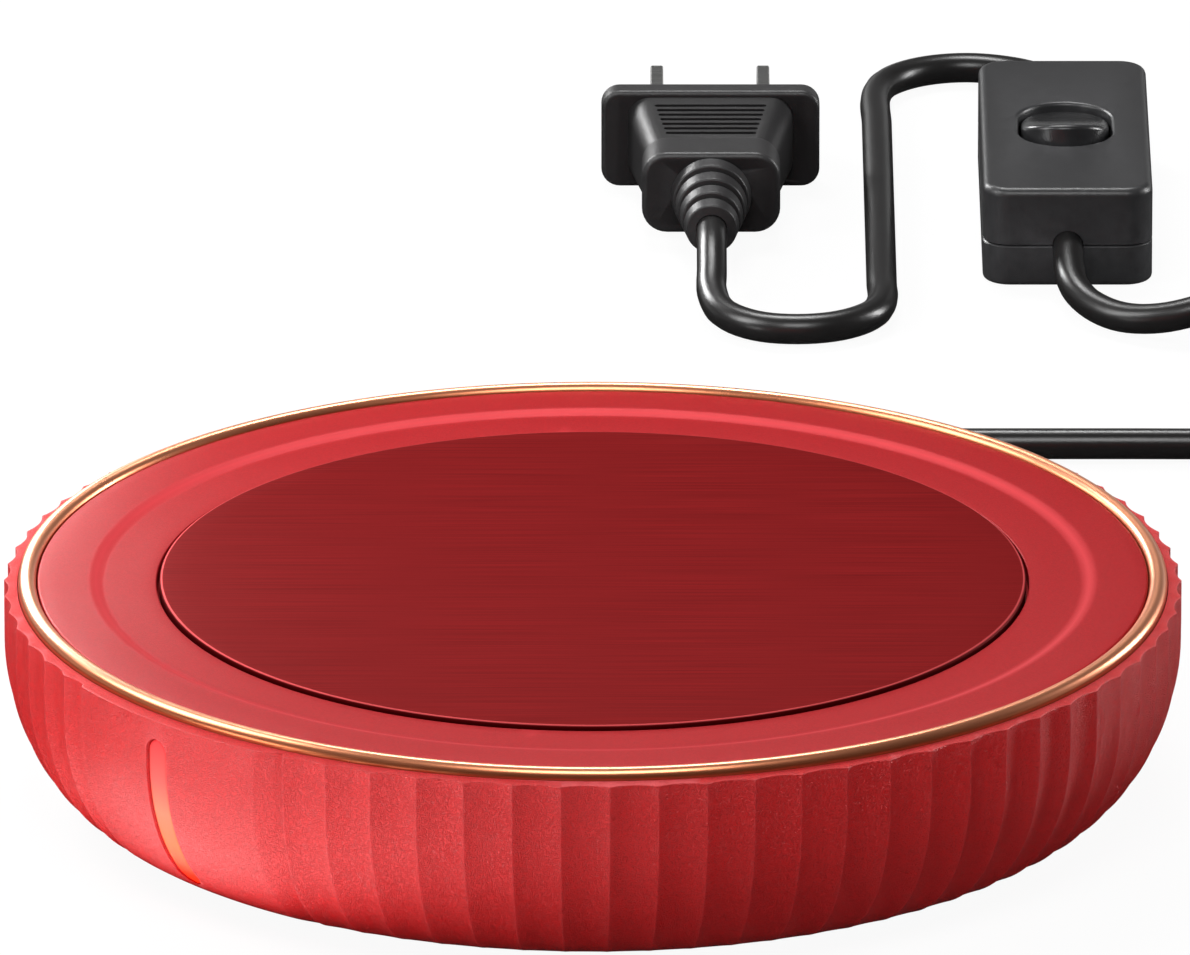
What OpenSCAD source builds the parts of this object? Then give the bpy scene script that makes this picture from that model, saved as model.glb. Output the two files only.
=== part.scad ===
// Candle warmer: a low round hot plate in a fluted shell, with a lead, an inline rocker switch and a plug.
// Millimetres. Z is up, the origin is under the centre of the feet, and the light faces -Y.

/* [Shell] */
// Largest diameter of the fluted shell
body_d = 131.6; // [124:0.2:150]
// Diameter of the shell's lower edge
base_d = 106.2; // [104:0.2:116]
// Height from the shell's lower edge to the top deck
body_h = 23.6; // [22.5:0.1:32]
// Height over which the lower wall curves outwards
curve_h = 17.9; // [14:0.1:19]
// Thickness of the shell's wall
wall = 2.4; // [1.8:0.1:3]
// Depth of the sloped shoulder under the deck
shoulder_h = 2.1; // [1.6:0.1:2.6]
// Width of the sloped shoulder
shoulder_w = 1.3; // [0.8:0.1:2]

/* [Flutes] */
// Number of flutes round the shell
flute_count = 72; // [40:1:80]
// Depth of a flute
flute_depth = 0.55; // [0.2:0.05:0.9]
// Angle of the smooth panel round the light
panel_angle = 24.6; // [16:0.2:40]

/* [Top] */
// Width of the trim ring
ring_w = 2.05; // [1.4:0.05:2.6]
// Height of the trim ring above the deck
ring_proud = 0.6; // [0.3:0.1:1]
// Thickness of the deck
deck_t = 2; // [1.6:0.1:2.6]
// Outer diameter of the step in the deck
step_d = 112.8; // [109:0.2:116]
// Width of the step in the deck
step_w = 1.9; // [1:0.1:3]
// Depth of the step in the deck
step_h = 0.7; // [0.3:0.1:1.2]
// Diameter of the heating plate
plate_d = 96.8; // [92:0.2:102]
// Thickness of the heating plate
plate_t = 1.6; // [1.2:0.1:2]
// Height of the heating plate above the deck's inner flat
plate_proud = 0.7; // [0.3:0.1:1.2]

/* [Heater] */
// Thickness of the gasket under the plate
gasket_t = 0.6; // [0.4:0.1:1]
// Thickness of the ledge that carries the plate
ledge_t = 1.6; // [1.2:0.1:2.4]
// Thickness of the heating element
element_t = 0.8; // [0.5:0.1:1.2]
// Thickness of the clamp plate
clamp_t = 0.8; // [0.6:0.1:1.2]
// Diameter of the threaded studs under the plate
stud_d = 5; // [4.4:0.1:6]

/* [Base] */
// Height of the feet below the shell
foot_h = 1.2; // [0.8:0.1:3]
// Diameter of a foot
foot_d = 11; // [8:0.5:14]
// Thickness of the base plate
base_t = 2; // [1.8:0.1:3]
// Diameter of the screw posts
post_d = 6; // [5:0.1:7]
// Diameter of the self-tapping screws
screw_d = 2.5; // [2:0.1:3]

/* [Light] */
// Width of the light guide's slot
light_w = 3.3; // [2.4:0.1:4.5]
// Height of the slot's lower end above the shell's edge
light_low = 2.2; // [2:0.1:6]
// Height of the slot's upper end above the shell's edge
light_high = 20.7; // [16:0.1:21]
// Diameter of the lamp
lamp_d = 3; // [2:0.1:3.4]

/* [Lead] */
// Diameter of the lead
cord_d = 3.6; // [3:0.1:4]
// Length of the gland's boot outside the shell
boot_l = 24; // [23:0.5:24.5]
// Largest diameter of the gland's boot
boot_d = 8; // [7:0.1:9]

/* [Switch] */
// Length of the switch
switch_l = 48; // [46:0.5:50]
// Width of the switch
switch_w = 20; // [19:0.5:24]
// Height of the switch
switch_h = 12; // [12:0.5:15]
// Wall of the switch's case
case_wall = 1.6; // [1.2:0.1:2]
// Width of the rocker
rocker_w = 10.4; // [9:0.1:11]
// Length of the rocker
rocker_l = 14; // [12:0.1:15]
// Tilt of the rocker to either side
rocker_tilt = 12; // [8:1:13]

/* [Plug] */
// Width of the plug's flange
flange_w = 26; // [24:0.5:30]
// Thickness of the plug's flange, up from the table
flange_h = 12; // [11.5:0.1:14]
// Length of the plug's body with its boot
plug_l = 36; // [34:0.5:40]
// Distance between the blades
blade_gap = 12.7; // [12.5:0.1:12.9]
// Length of a blade outside the plug
blade_l = 16; // [15:0.5:18]

/* [Hidden] */

// Fits
gap = 0.1;
run_gap = 0.3;
screw_gap = 0.05;
eps = 0.01;
fine = 128;
mid = 48;
small = 32;

// Heights and radii of the shell
body_r = body_d / 2;
base_r = base_d / 2;
bulge = body_r - base_r;
edge_z = foot_h;
deck_z = edge_z + body_h;
shoulder_z = deck_z - shoulder_h;
lip_land = 0.3;
lip_drop = 0.6;
lip_z = deck_z - lip_drop;
lip_r = body_r - shoulder_w;
ring_r = lip_r - lip_land;
ring_in_r = ring_r - ring_w;
ring_seat_z = deck_z - deck_t + 0.6;
deck_r = ring_in_r - gap;
shelf_z = deck_z - deck_t;
shelf_w = 2.2;
shelf_t = 2;
shelf_r = ring_in_r - shelf_w;

// Opening and seat of the base plate
edge_w = 1.8;
seat_w = 1.4;
open_r = base_r - edge_w;
seat_r = open_r - seat_w;
base_recess = 0.3;
base_z = edge_z + base_recess;
seat_z = base_z + base_t;
seat_t = 1.5;
base_r_out = open_r - run_gap;

// Screw posts of the deck
post_r = seat_r - 0.5 - post_d / 2;
post_count = 4;
post_turn = 15;
post_bore = screw_d + 2 * screw_gap;
post_bore_l = 9;

// Deck and heater stack
flat_z = deck_z - step_h;
step_r = step_d / 2;
plate_r = plate_d / 2;
plate_z = flat_z + plate_proud;
plate_gap = 0.3;
ledge_w = 5;
ledge_r = min(plate_r - ledge_w, post_r - post_d / 2);
gasket_z = plate_z - plate_t - gasket_t;
ledge_z = gasket_z - ledge_t;
stud_r = ledge_r - 0.4 - stud_d / 2;
stud_count = 3;
stud_turn = 60;
element_z = plate_z - plate_t - element_t;
pad_r = stud_r - stud_d / 2 - 1;
element_r = pad_r - 1.5;
clamp_z = ledge_z - clamp_t;
clamp_r = ledge_r + 2.2;
screw_head = 2;
screw_head_h = 1.2;

// Lamp
board_w = 12;
board_t = 1.2;
board_h = 13;
board_y = -(base_r_out - 3.4);
lamp_z = seat_z + 8.5;
lamp_l = 4;
guide_t = 3.5;
guide_gap = 0.3;
stub_h = 6;

// Gland and inner cord
lead_turn = 47;
boot_end = 88;
boot_start = boot_end - boot_l;
boot_tip_d = cord_d + 1.6;
gland_in = 52;
clamp_v = 45;
clamp_span = 14;
clamp_bar_w = 5;
clamp_bar_t = 2.2;
clamp_post_d = 5;
cord_bore = cord_d + 0.1;
wire_d = 1.2;
wire_end_v = 40;
cap_d = 6;
cap_bore = 4.4;
cap_l = 14;
cap_u = 10;
cap_v = 24;
cap_z = 9;
fuse_d = 4;
fuse_l = 10;
fuse_u = 16;
fuse_v = 4;
fuse_z = clamp_z - fuse_d / 2 - 0.6;
lead_hole = 2.4;
lead_v = 30;

// Route of the lead on the table: u to the right, v to the back, as the object is looked at
exit_route = [[0, 40, 11], [0, 50, 11], [0, 60, 11], [0, 70, 11], [0, 80, 11], [0, 88, 11], [0, 90, 10.95],
  [0, 93, 10.5], [1.2, 98, 9.2], [4.7, 103.3, 7.2], [9.9, 106.8, 5.3], [16, 108, 3.7], [23, 108, 2.5],
  [32, 108, 2], [42, 108, 2], [52, 108, 2], [62, 108, 2], [72, 108, 2], [80, 108, 2.2], [88, 108, 2.5],
  [94, 108, 2.5]];
gland_z = exit_route[0][2];
coil_centre = [105, 137];
coil_out_r = 29;
coil_turns = 4.06;
coil_pitch = 4.2;
coil_z = 2.5;
coil_rings = 24;
coil_start = -90;
return_route = [[76.2, 150.7, 5.6], [71.4, 149.5, 4], [66.5, 149.9, 2.7], [62.1, 152, 2.1],
  [58.6, 155.5, 2.4], [56.6, 159.4, 3.3], [56, 163.6, 4.3], [56, 166.5, 4.85], [56, 169, 5], [56, 175, 5]];
plug_route = [[56, 211, 5], [56, 217, 5], [56, 220, 4.85], [56, 225, 4.1], [56, 229, 3.2], [56, 232, 2.7],
  [54.5, 237.5, 2.2], [50.5, 241.5, 2], [45, 243, 2], [39.5, 241.5, 2], [35.5, 237.5, 2], [34, 232, 2],
  [34, 222, 2], [34, 212, 2], [34, 202, 2], [34, 192, 2], [34, 182, 2], [34, 172, 2], [34, 164, 2],
  [34, 158, 2], [32.7, 153, 2], [29, 149.3, 2], [24, 148, 2], [19, 149.3, 2], [15.3, 153, 2.3],
  [14, 158, 3.1], [14, 162, 4.2], [14, 167, 5.7], [14, 170, 6], [14, 172, 6]];

// Switch on the lead
switch_u = 56;
switch_v = 169;
switch_mid = switch_v + switch_l / 2;
split_z = 5;
case_corner = 3.2;
pivot_z = switch_h - 3.6;
open_side = 0.3;
open_end = 0.85;
axle_d = 2.6;
axle_over = 1.8;
axle_gap = 0.08;
lug_t = 2.2;
lug_drop = 2.4;
rocker_rise = 0.6;
rocker_crown = 3.6;
rocker_foot = 1.4;
plunger_d = 2.2;
plunger_reach = 4.5;
spring_wire = 0.4;
spring_d = 1.9;
spring_turns = 5;
bridge_t = 0.6;
bridge_l = 12.4;
bridge_w = 3;
bridge_tilt = rocker_tilt / 2;
bridge_rib_d = 1;
bridge_z = pivot_z - plunger_reach - 0.35;
strip_w = 4;
strip_t = 0.6;
case_screw_u = 5.8;
case_screw_v = 19;
case_screw_d = 1.8;
case_boss_d = 4.6;

// Plug
plug_u = 14;
plug_v = 172;
flange_t = 3.2;
plug_face = plug_v + plug_l;
plug_z = flange_h / 2;
relief_l = 13;
collar_l = 6.4;
collar_w = 16.4;
grip_w0 = 15.7;
grip_w1 = 19.8;
grip_h = 10.6;
relief_d = 10;
relief_tip_d = cord_d + 2.4;
blade_t = 1.5;
blade_w = 6.35;
blade_in = 8;
blade_hole = 3;

// Shell outline: a quarter ellipse up to the vertical wall
curve_steps = 8;
function wall_pt(t) = [base_r + bulge * sin(t), edge_z + curve_h * (1 - cos(t))];
function wall_out(t) = let (n = [sin(t) / bulge, -cos(t) / curve_h]) n / norm(n);
function inner_pt(t) = wall_pt(t) - wall * wall_out(t);

// Angles round the shell, each with its share of the flute's depth
flute_seg = 4;
panel_seg = 8;
panel_lap = 1.2;
panel_draft = 0.2;
panel_half = panel_angle / 2;
flute_pitch = (360 - panel_angle + 2 * panel_lap) / flute_count;
flute_start = -90 + panel_half - panel_lap;
flute_first = -90 + panel_half + panel_draft;
flute_last = 270 - panel_half - panel_draft;
function flute_share(a) = let (x = (a - flute_start) / flute_pitch) 1 - pow(2 * (x - floor(x)) - 1, 2);
skin_angles = concat(
  [[flute_first, flute_share(flute_first)]],
  [for (i = [0 : flute_count - 1], s = [0 : flute_seg - 1])
    let (a = flute_start + flute_pitch * (i + s / flute_seg))
    if (a > flute_first + panel_draft && a < flute_last - panel_draft)
      [a, 1 - pow(2 * s / flute_seg - 1, 2)]],
  [[flute_last, flute_share(flute_last)]],
  [for (j = [0 : panel_seg]) [270 - panel_half + panel_angle * j / panel_seg, 0]]);
fade_start = 8;
fade_span = 30;
function fade(t) = let (x = min(1, max(0, (t - fade_start) / fade_span))) x * x * (3 - 2 * x);
function skin_ring(p, out, depth) = [for (a = skin_angles)
  let (q = p - out * depth * a[1]) [q[0] * cos(a[0]), q[0] * sin(a[0]), q[1]]];

// Faces between rings of n points, closed by an end face at either end
function ring_faces(m, n) = concat(
  [[for (i = [0 : n - 1]) i]],
  [for (k = [0 : m - 2], i = [0 : n - 1]) let (j = (i + 1) % n)
    each [[k * n + i, (k + 1) * n + j, k * n + j], [k * n + i, (k + 1) * n + i, (k + 1) * n + j]]],
  [[for (i = [n - 1 : -1 : 0]) (m - 1) * n + i]]);

// Round tube along a route, its end faces square to the first and last run
function unit(v) = v / norm(v);
function heading(p, i) = let (last = len(p) - 1)
  i == 0 ? unit(p[1] - p[0]) : i == last ? unit(p[last] - p[last - 1])
  : unit(unit(p[i + 1] - p[i]) + unit(p[i] - p[i - 1]));
function tube_ring(c, h, r, n) = let (side = unit(cross(h, abs(h[2]) > 0.9 ? [0, 1, 0] : [0, 0, 1])),
  up = cross(side, h)) [for (k = [0 : n - 1]) c + r * (side * cos(360 * k / n) + up * sin(360 * k / n))];
module tube(p, d, n) {
  points = [for (i = [0 : len(p) - 1]) each tube_ring(p[i], heading(p, i), d / 2, n)];
  polyhedron(points, ring_faces(len(p), n));
}

module lead_frame() rotate([0, 0, lead_turn]) children();
module along_v(u, v, z) translate([u, v, z]) rotate([-90, 0, 0]) children();
module along_u(u, v, z) translate([u, v, z]) rotate([0, 90, 0]) children();
module spin(count, turn, r) for (i = [0 : count - 1]) rotate([0, 0, turn + 360 * i / count])
  translate([r, 0, 0]) children();
module stadium(w, l) union() {
  square([w, l - w], center = true);
  for (s = [-1, 1]) translate([0, s * (l - w) / 2]) circle(d = w, $fn = mid);
}
module rounded(w, l, r) union() {
  square([w - 2 * r, l], center = true);
  square([w, l - 2 * r], center = true);
  for (x = [-1, 1], y = [-1, 1]) translate([x * (w / 2 - r), y * (l / 2 - r)]) circle(r, $fn = small);
}

// Shell, ring and deck

module fluted_skin() {
  rings = concat(
    [for (k = [0 : curve_steps]) let (t = 90 * k / curve_steps)
      skin_ring(wall_pt(t), wall_out(t), flute_depth * fade(t))],
    [skin_ring([body_r, shoulder_z], [1, 0], flute_depth)],
    [skin_ring([lip_r, lip_z], [1, 0], 0)]);
  polyhedron([for (r = rings) each r], ring_faces(len(rings), len(skin_angles)));
}

module shell_cavity() {
  over = 10;
  rotate_extrude($fn = fine) polygon(concat(
    [[0, -over], [open_r, -over], [open_r, seat_z], [seat_r, seat_z], [seat_r, seat_z + seat_t]],
    [for (t = [36 : 9 : 90]) inner_pt(t)],
    [[shelf_r, shelf_z - shelf_t], [shelf_r, shelf_z], [ring_in_r, shelf_z], [ring_in_r, ring_seat_z],
      [ring_r + gap, ring_seat_z], [ring_r + gap, deck_z + over], [0, deck_z + over]]));
}

module light_slot(clear) {
  depth = 40;
  w = light_w - 2 * clear;
  l = light_high - light_low - 2 * clear;
  translate([0, -body_r - wall + depth, edge_z + (light_low + light_high) / 2])
    rotate([90, 0, 0]) linear_extrude(depth + wall) stadium(w, l);
}

module body_shell() color("firebrick") difference() {
  fluted_skin();
  shell_cavity();
  light_slot(0);
  lead_frame() along_v(0, gland_in, gland_z) cylinder(d = boot_d + 2 * gap, h = body_r, $fn = mid);
}

module trim_ring() color("darkgoldenrod") {
  bead = ring_w / 2;
  crest = deck_z + ring_proud - bead;
  rotate_extrude($fn = fine) union() {
    translate([ring_in_r, ring_seat_z]) square([ring_w, crest - ring_seat_z]);
    translate([ring_in_r + bead, crest]) intersection() {
      circle(bead, $fn = mid);
      translate([-bead, 0]) square([ring_w, bead]);
    }
  }
}

module deck_outline() {
  step_in = step_r - step_w;
  polygon(concat(
    [[ledge_r, ledge_z], [ledge_r, gasket_z], [plate_r + plate_gap, gasket_z], [plate_r + plate_gap, flat_z]],
    [for (k = [0 : 6]) [step_in + step_w * k / 6, flat_z + step_h * (1 - cos(180 * k / 6)) / 2]],
    [[deck_r, deck_z], [deck_r, shelf_z], [step_r, shelf_z], [step_in, flat_z - deck_t],
      [plate_r + 2.2, flat_z - deck_t], [plate_r + 1.6, ledge_z]]));
}

module top_cover() color("crimson") difference() {
  union() {
    rotate_extrude($fn = fine) deck_outline();
    spin(post_count, post_turn, post_r) translate([0, 0, seat_z])
      cylinder(d = post_d, h = ledge_z + ledge_t / 2 - seat_z, $fn = mid);
  }
  spin(post_count, post_turn, post_r) translate([0, 0, seat_z - eps])
    cylinder(d = post_bore, h = post_bore_l, $fn = small);
}

// Heater stack

module heating_plate() color("darkred") difference() {
  edge = 0.4;
  union() {
    rotate_extrude($fn = fine) union() {
      translate([0, plate_z - plate_t]) square([plate_r - edge, plate_t]);
      translate([0, plate_z - plate_t]) square([plate_r, plate_t - edge]);
      translate([plate_r - edge, plate_z - edge]) circle(edge, $fn = small);
    }
    spin(stud_count, stud_turn, stud_r) translate([0, 0, ledge_z])
      cylinder(d = stud_d, h = plate_z - plate_t - ledge_z + eps, $fn = mid);
  }
  spin(stud_count, stud_turn, stud_r) translate([0, 0, ledge_z - eps])
    cylinder(d = post_bore, h = plate_z - plate_t - ledge_z, $fn = small);
}

module disc_ring(r_out, r_in, z, t) translate([0, 0, z]) difference() {
  cylinder(r = r_out, h = t, $fn = fine);
  translate([0, 0, -1]) cylinder(r = r_in, h = t + 2, $fn = fine);
}

module plate_gasket() color("gainsboro") disc_ring(plate_r, ledge_r, gasket_z, gasket_t);

module heating_element() color("peru") translate([0, 0, element_z])
  cylinder(r = element_r, h = element_t, $fn = fine);

module lead_holes(z, t) lead_frame() for (u = [-cap_u, cap_u])
  translate([u, lead_v, z - 1]) cylinder(d = lead_hole, h = t + 2, $fn = small);

module insulation_pad() color("ivory") difference() {
  translate([0, 0, ledge_z]) cylinder(r = pad_r, h = element_z - ledge_z, $fn = fine);
  lead_holes(ledge_z, element_z - ledge_z);
}

module clamp_plate() color("silver") difference() {
  translate([0, 0, clamp_z]) cylinder(r = clamp_r, h = clamp_t, $fn = fine);
  spin(stud_count, stud_turn, stud_r) translate([0, 0, clamp_z - 1])
    cylinder(d = screw_d + 2 * gap, h = clamp_t + 2, $fn = small);
  spin(post_count, post_turn, post_r) translate([0, 0, clamp_z - 1])
    cylinder(d = post_d + 2 * run_gap, h = clamp_t + 2, $fn = mid);
  lead_holes(clamp_z, clamp_t);
}

module pan_screw(d, l) {
  translate([0, 0, -screw_head_h]) cylinder(d = d * screw_head, h = screw_head_h, $fn = small);
  cylinder(d = d, h = l, $fn = small);
}

module clamp_screws() color("silver") spin(stud_count, stud_turn, stud_r)
  translate([0, 0, clamp_z]) pan_screw(screw_d, clamp_t + plate_z - plate_t - ledge_z - run_gap);

module thermal_fuse() color("white") lead_frame() along_v(fuse_u, fuse_v, fuse_z)
  cylinder(d = fuse_d, h = fuse_l, $fn = small);

module fuse_clip() color("silver") lead_frame() {
  strap_l = 5;
  strap_t = 0.6;
  foot_l = 4;
  start = fuse_v + (fuse_l - strap_l) / 2;
  difference() {
    union() {
      along_v(fuse_u, start, fuse_z) cylinder(d = fuse_d + 2 * strap_t, h = strap_l, $fn = mid);
      translate([fuse_u - fuse_d / 2 - foot_l, start, clamp_z - strap_t])
        cube([fuse_d + 2 * foot_l, strap_l, strap_t]);
    }
    along_v(fuse_u, start - 1, fuse_z) cylinder(d = fuse_d + 2 * screw_gap, h = strap_l + 2, $fn = mid);
  }
}

// Wiring inside the body

cap_mouth = cap_v + cap_l;
wire_in = 5;
module heater_leads() color("white") lead_frame() {
  tube([[-cap_u, cap_mouth - wire_in, cap_z + 1], [-cap_u, cap_mouth, cap_z + 1],
    [-cap_u, cap_mouth + 3, cap_z + 2],
    [-cap_u, cap_mouth + 3, cap_z + 5], [-cap_u, cap_mouth - 3, cap_z + 7.5], [-cap_u, lead_v + 1, cap_z + 9],
    [-cap_u, lead_v, clamp_z], [-cap_u, lead_v, element_z]], wire_d, 8);
  tube([[cap_u, cap_mouth - wire_in, cap_z + 1], [cap_u, cap_mouth, cap_z + 1],
    [cap_u + 1, cap_mouth + 3, cap_z + 2],
    [fuse_u, cap_mouth - 1, cap_z + 5], [fuse_u, lead_v, cap_z + 6.5], [fuse_u, fuse_v + fuse_l + 6, fuse_z],
    [fuse_u, fuse_v + fuse_l, fuse_z]], wire_d, 8);
  tube([[fuse_u, fuse_v, fuse_z], [fuse_u, fuse_v - 4, fuse_z], [fuse_u - 4, fuse_v - 6, fuse_z - 2.5],
    [cap_u, fuse_v, fuse_z - 3.5], [cap_u - 1, lead_v - 14, fuse_z - 3], [cap_u, lead_v - 4, fuse_z - 1.5],
    [cap_u, lead_v, clamp_z], [cap_u, lead_v, element_z]], wire_d, 8);
}

module mains_wires() color("dimgray") lead_frame() for (s = [-1, 1])
  tube([[s * 0.8, wire_end_v, gland_z], [s * 0.9, wire_end_v - 3, gland_z - 0.2],
    [s * 4, wire_end_v - 3.5, gland_z - 0.8],
    [s * 8, wire_end_v + 1, cap_z - 1], [s * (cap_u - 0.6), cap_mouth + 3, cap_z - 1],
    [s * (cap_u - 0.8), cap_mouth - wire_in, cap_z - 1]], wire_d, 8);

module splice_caps() color("whitesmoke") lead_frame() for (s = [-1, 1])
  along_v(s * cap_u, cap_v, cap_z) difference() {
    cylinder(d = cap_d, h = cap_l, $fn = mid);
    translate([0, 0, cap_l - wire_in - 2]) cylinder(d = cap_bore, h = cap_l, $fn = mid);
  }

lead_pad_u = board_w / 4;
lead_low_z = seat_z + wire_d + run_gap;
lead_run_y = -cap_v * 2 / 3;
lead_side = cap_d / 2 + wire_d + run_gap;
function turned(p) = [p[0] * cos(lead_turn) - p[1] * sin(lead_turn),
  p[0] * sin(lead_turn) + p[1] * cos(lead_turn), p[2]];
module lamp_leads() color("indianred") for (s = [-1, 1])
  tube(concat(
    [[s * lead_pad_u, board_y + board_t, lamp_z - lamp_l],
      [s * lead_pad_u, board_y + wire_in, lamp_z - lamp_l],
      [s * (cap_u - 2 * wire_d), board_y + cap_l, lead_low_z], [s * cap_u, lead_run_y, lead_low_z],
      [s * (cap_u - 2 * wire_d), 0, lead_low_z]],
    [for (p = [[s * (cap_u + lead_side), cap_v, lead_low_z + run_gap],
      [s * (cap_u + lead_side), cap_mouth + 2 * wire_d, lead_low_z + wire_d],
      [s * (cap_u + lead_side / 2), cap_mouth + 3.5 * wire_d, cap_z - 1.2 * wire_d],
      [s * (cap_u + 0.8 * wire_d), cap_mouth + wire_d, cap_z - 0.8 * wire_d],
      [s * (cap_u + 0.7 * wire_d), cap_mouth - wire_in, cap_z - 0.8 * wire_d]]) turned(p)]), wire_d, 8);

// Light

module light_guide() color("orangered") {
  stub_y = -(-board_y + board_t / 2 + lamp_l + lamp_d / 2 + guide_gap);
  intersection() {
    light_slot(gap);
    rotate_extrude($fn = fine) polygon(concat(
      [for (k = [1 : curve_steps]) wall_pt(90 * k / curve_steps)], [[body_r, shoulder_z]],
      [[body_r - guide_t, shoulder_z]],
      [for (k = [curve_steps : -1 : 1]) let (t = 90 * k / curve_steps) wall_pt(t) - guide_t * wall_out(t)]));
  }
  translate([-light_w / 2 + gap, -body_r + guide_t, lamp_z - stub_h / 2])
    cube([light_w - 2 * gap, body_r - guide_t + stub_y, stub_h]);
}

module lamp_board() color("darkgreen")
  translate([-board_w / 2, board_y - board_t / 2, seat_z]) cube([board_w, board_t, board_h]);

module lamp() color("tomato") translate([0, board_y - board_t / 2, lamp_z]) rotate([90, 0, 0]) {
  cylinder(d = lamp_d + 0.8, h = 1, $fn = small);
  cylinder(d = lamp_d, h = lamp_l, $fn = small);
  translate([0, 0, lamp_l]) sphere(d = lamp_d, $fn = small);
}

// Base

foot_r = base_r_out - foot_d / 2 - 4;
foot_count = 4;
foot_turn = 60;
foot_sink = 0.6;
vent_count = 16;
vent_r = 24;
vent_w = 2;
vent_l = 10;
head_sink = screw_head_h + 0.1;
module board_rail(s) {
  rail_w = 3;
  rail_l = 2.6;
  rail_h = 9;
  groove = 1.2;
  rail_x = s > 0 ? board_w / 2 - groove : -board_w / 2 + groove - rail_w;
  difference() {
    translate([rail_x, board_y - rail_l / 2, base_z + base_t / 2]) cube([rail_w, rail_l, rail_h]);
    translate([-board_w / 2 - gap, board_y - board_t / 2 - gap, seat_z])
      cube([board_w + 2 * gap, board_t + 2 * gap, rail_h]);
  }
}

module base_plate() color("maroon") difference() {
  union() {
    translate([0, 0, base_z]) cylinder(r = base_r_out, h = base_t, $fn = fine);
    for (s = [-1, 1]) board_rail(s);
    lead_frame() for (s = [-1, 1]) translate([s * clamp_span / 2, clamp_v, base_z + base_t / 2])
      cylinder(d = clamp_post_d, h = gland_z + cord_d / 2 - base_z - base_t / 2, $fn = mid);
    lead_frame() translate([-clamp_span / 2, clamp_v - clamp_bar_w / 2, base_z + base_t / 2])
      cube([clamp_span, clamp_bar_w, gland_z - cord_d / 2 - gap - base_z - base_t / 2]);
  }
  lead_frame() for (s = [-1, 1]) translate([s * clamp_span / 2, clamp_v, seat_z])
    cylinder(d = post_bore, h = gland_z, $fn = small);
  spin(post_count, post_turn, post_r) translate([0, 0, base_z - 1]) {
    cylinder(d = screw_d + 2 * gap, h = base_t + 2, $fn = small);
    cylinder(d = screw_d * screw_head + 2 * gap, h = 1 + head_sink, $fn = small);
  }
  spin(foot_count, foot_turn, foot_r) translate([0, 0, base_z - 1])
    cylinder(d = foot_d + 2 * gap, h = 1 + foot_sink, $fn = mid);
  translate([0, 0, base_z - 1]) linear_extrude(base_t + 2) spin(vent_count, 0, vent_r) rotate([0, 0, 90])
    stadium(vent_w, vent_l);
}

module base_screws() color("silver") spin(post_count, post_turn, post_r)
  translate([0, 0, base_z + head_sink]) pan_screw(screw_d, base_t - head_sink + post_bore_l - 1);

module feet() color("black") spin(foot_count, foot_turn, foot_r) rotate_extrude($fn = mid) polygon(
  [[0, 0], [foot_d / 2 - 0.6, 0], [foot_d / 2, 0.6], [foot_d / 2, base_z + foot_sink],
    [0, base_z + foot_sink]]);

// Gland and cord clamp

boot_neck = 6;
boot_ribs = 4;
boot_groove = 0.7;
boot_pitch = (boot_l - boot_neck) / boot_ribs;
function boot_r(v) = boot_d / 2
  - (boot_d - boot_tip_d) / 2 * max(0, v - boot_start - boot_neck) / (boot_l - boot_neck);
module cord_gland() color("black") lead_frame() along_v(0, 0, gland_z) rotate_extrude($fn = mid)
  polygon(concat(
    [[cord_bore / 2, gland_in], [boot_d / 2 + 1.2, gland_in], [boot_d / 2 + 1.2, gland_in + 1.6],
      [boot_d / 2, gland_in + 1.6]],
    [for (k = [0 : boot_ribs - 1]) let (v = boot_start + boot_neck + boot_pitch * k)
      each [[boot_r(v), v], [boot_r(v + boot_pitch * 0.6), v + boot_pitch * 0.6],
        [boot_r(v + boot_pitch * 0.7) - boot_groove, v + boot_pitch * 0.7],
        [boot_r(v + boot_pitch) - boot_groove, v + boot_pitch - 0.3]]],
    [[boot_tip_d / 2, boot_end - 0.2], [boot_tip_d / 2, boot_end], [cord_bore / 2, boot_end]]));

module cord_clamp() color("maroon") lead_frame() difference() {
  translate([0, clamp_v, gland_z + cord_d / 2 + gap / 2]) linear_extrude(clamp_bar_t) difference() {
    rounded(clamp_span + clamp_post_d, clamp_bar_w, 2);
    for (s = [-1, 1]) translate([s * clamp_span / 2, 0]) circle(d = screw_d + 2 * gap, $fn = small);
  }
}

module cord_clamp_screws() color("silver") lead_frame() for (s = [-1, 1])
  translate([s * clamp_span / 2, clamp_v, gland_z + cord_d / 2 + gap / 2 + clamp_bar_t]) rotate([180, 0, 0])
    pan_screw(screw_d, clamp_bar_t + 4);

// Lead

coil_mid = coil_turns + 0.25;
coil_total = 2 * coil_mid;
coil_in_r = coil_out_r - coil_pitch * coil_mid;
coil_count = round(coil_total * coil_rings);
function coil_r(a) = coil_in_r + coil_pitch * abs(a - coil_mid);
function coil_h(a) = coil_z + coil_pitch * min(1, max(0, 2 * (a - coil_turns)));
coil_spiral = [for (k = [0 : coil_count]) let (a = coil_total * k / coil_count, t = coil_start + 360 * a)
  [coil_centre[0] + coil_r(a) * cos(t), coil_centre[1] + coil_r(a) * sin(t), coil_h(a)]];
function coil_way(a) = let (t = coil_start + 360 * a) [-sin(t), cos(t), 0];
coil_in = coil_spiral[0] - cord_d * coil_way(0);
coil_out = coil_spiral[coil_count] + cord_d * coil_way(coil_total);
coil_path = concat([coil_in], coil_spiral, [coil_out]);
half_turn = coil_rings / 2;
coil_gap = min([for (i = [0 : coil_count], j = [i + half_turn : 1 : coil_count])
  norm(coil_spiral[i] - coil_spiral[j])]) - cord_d;
echo(coil_self_gap = coil_gap);

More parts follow.
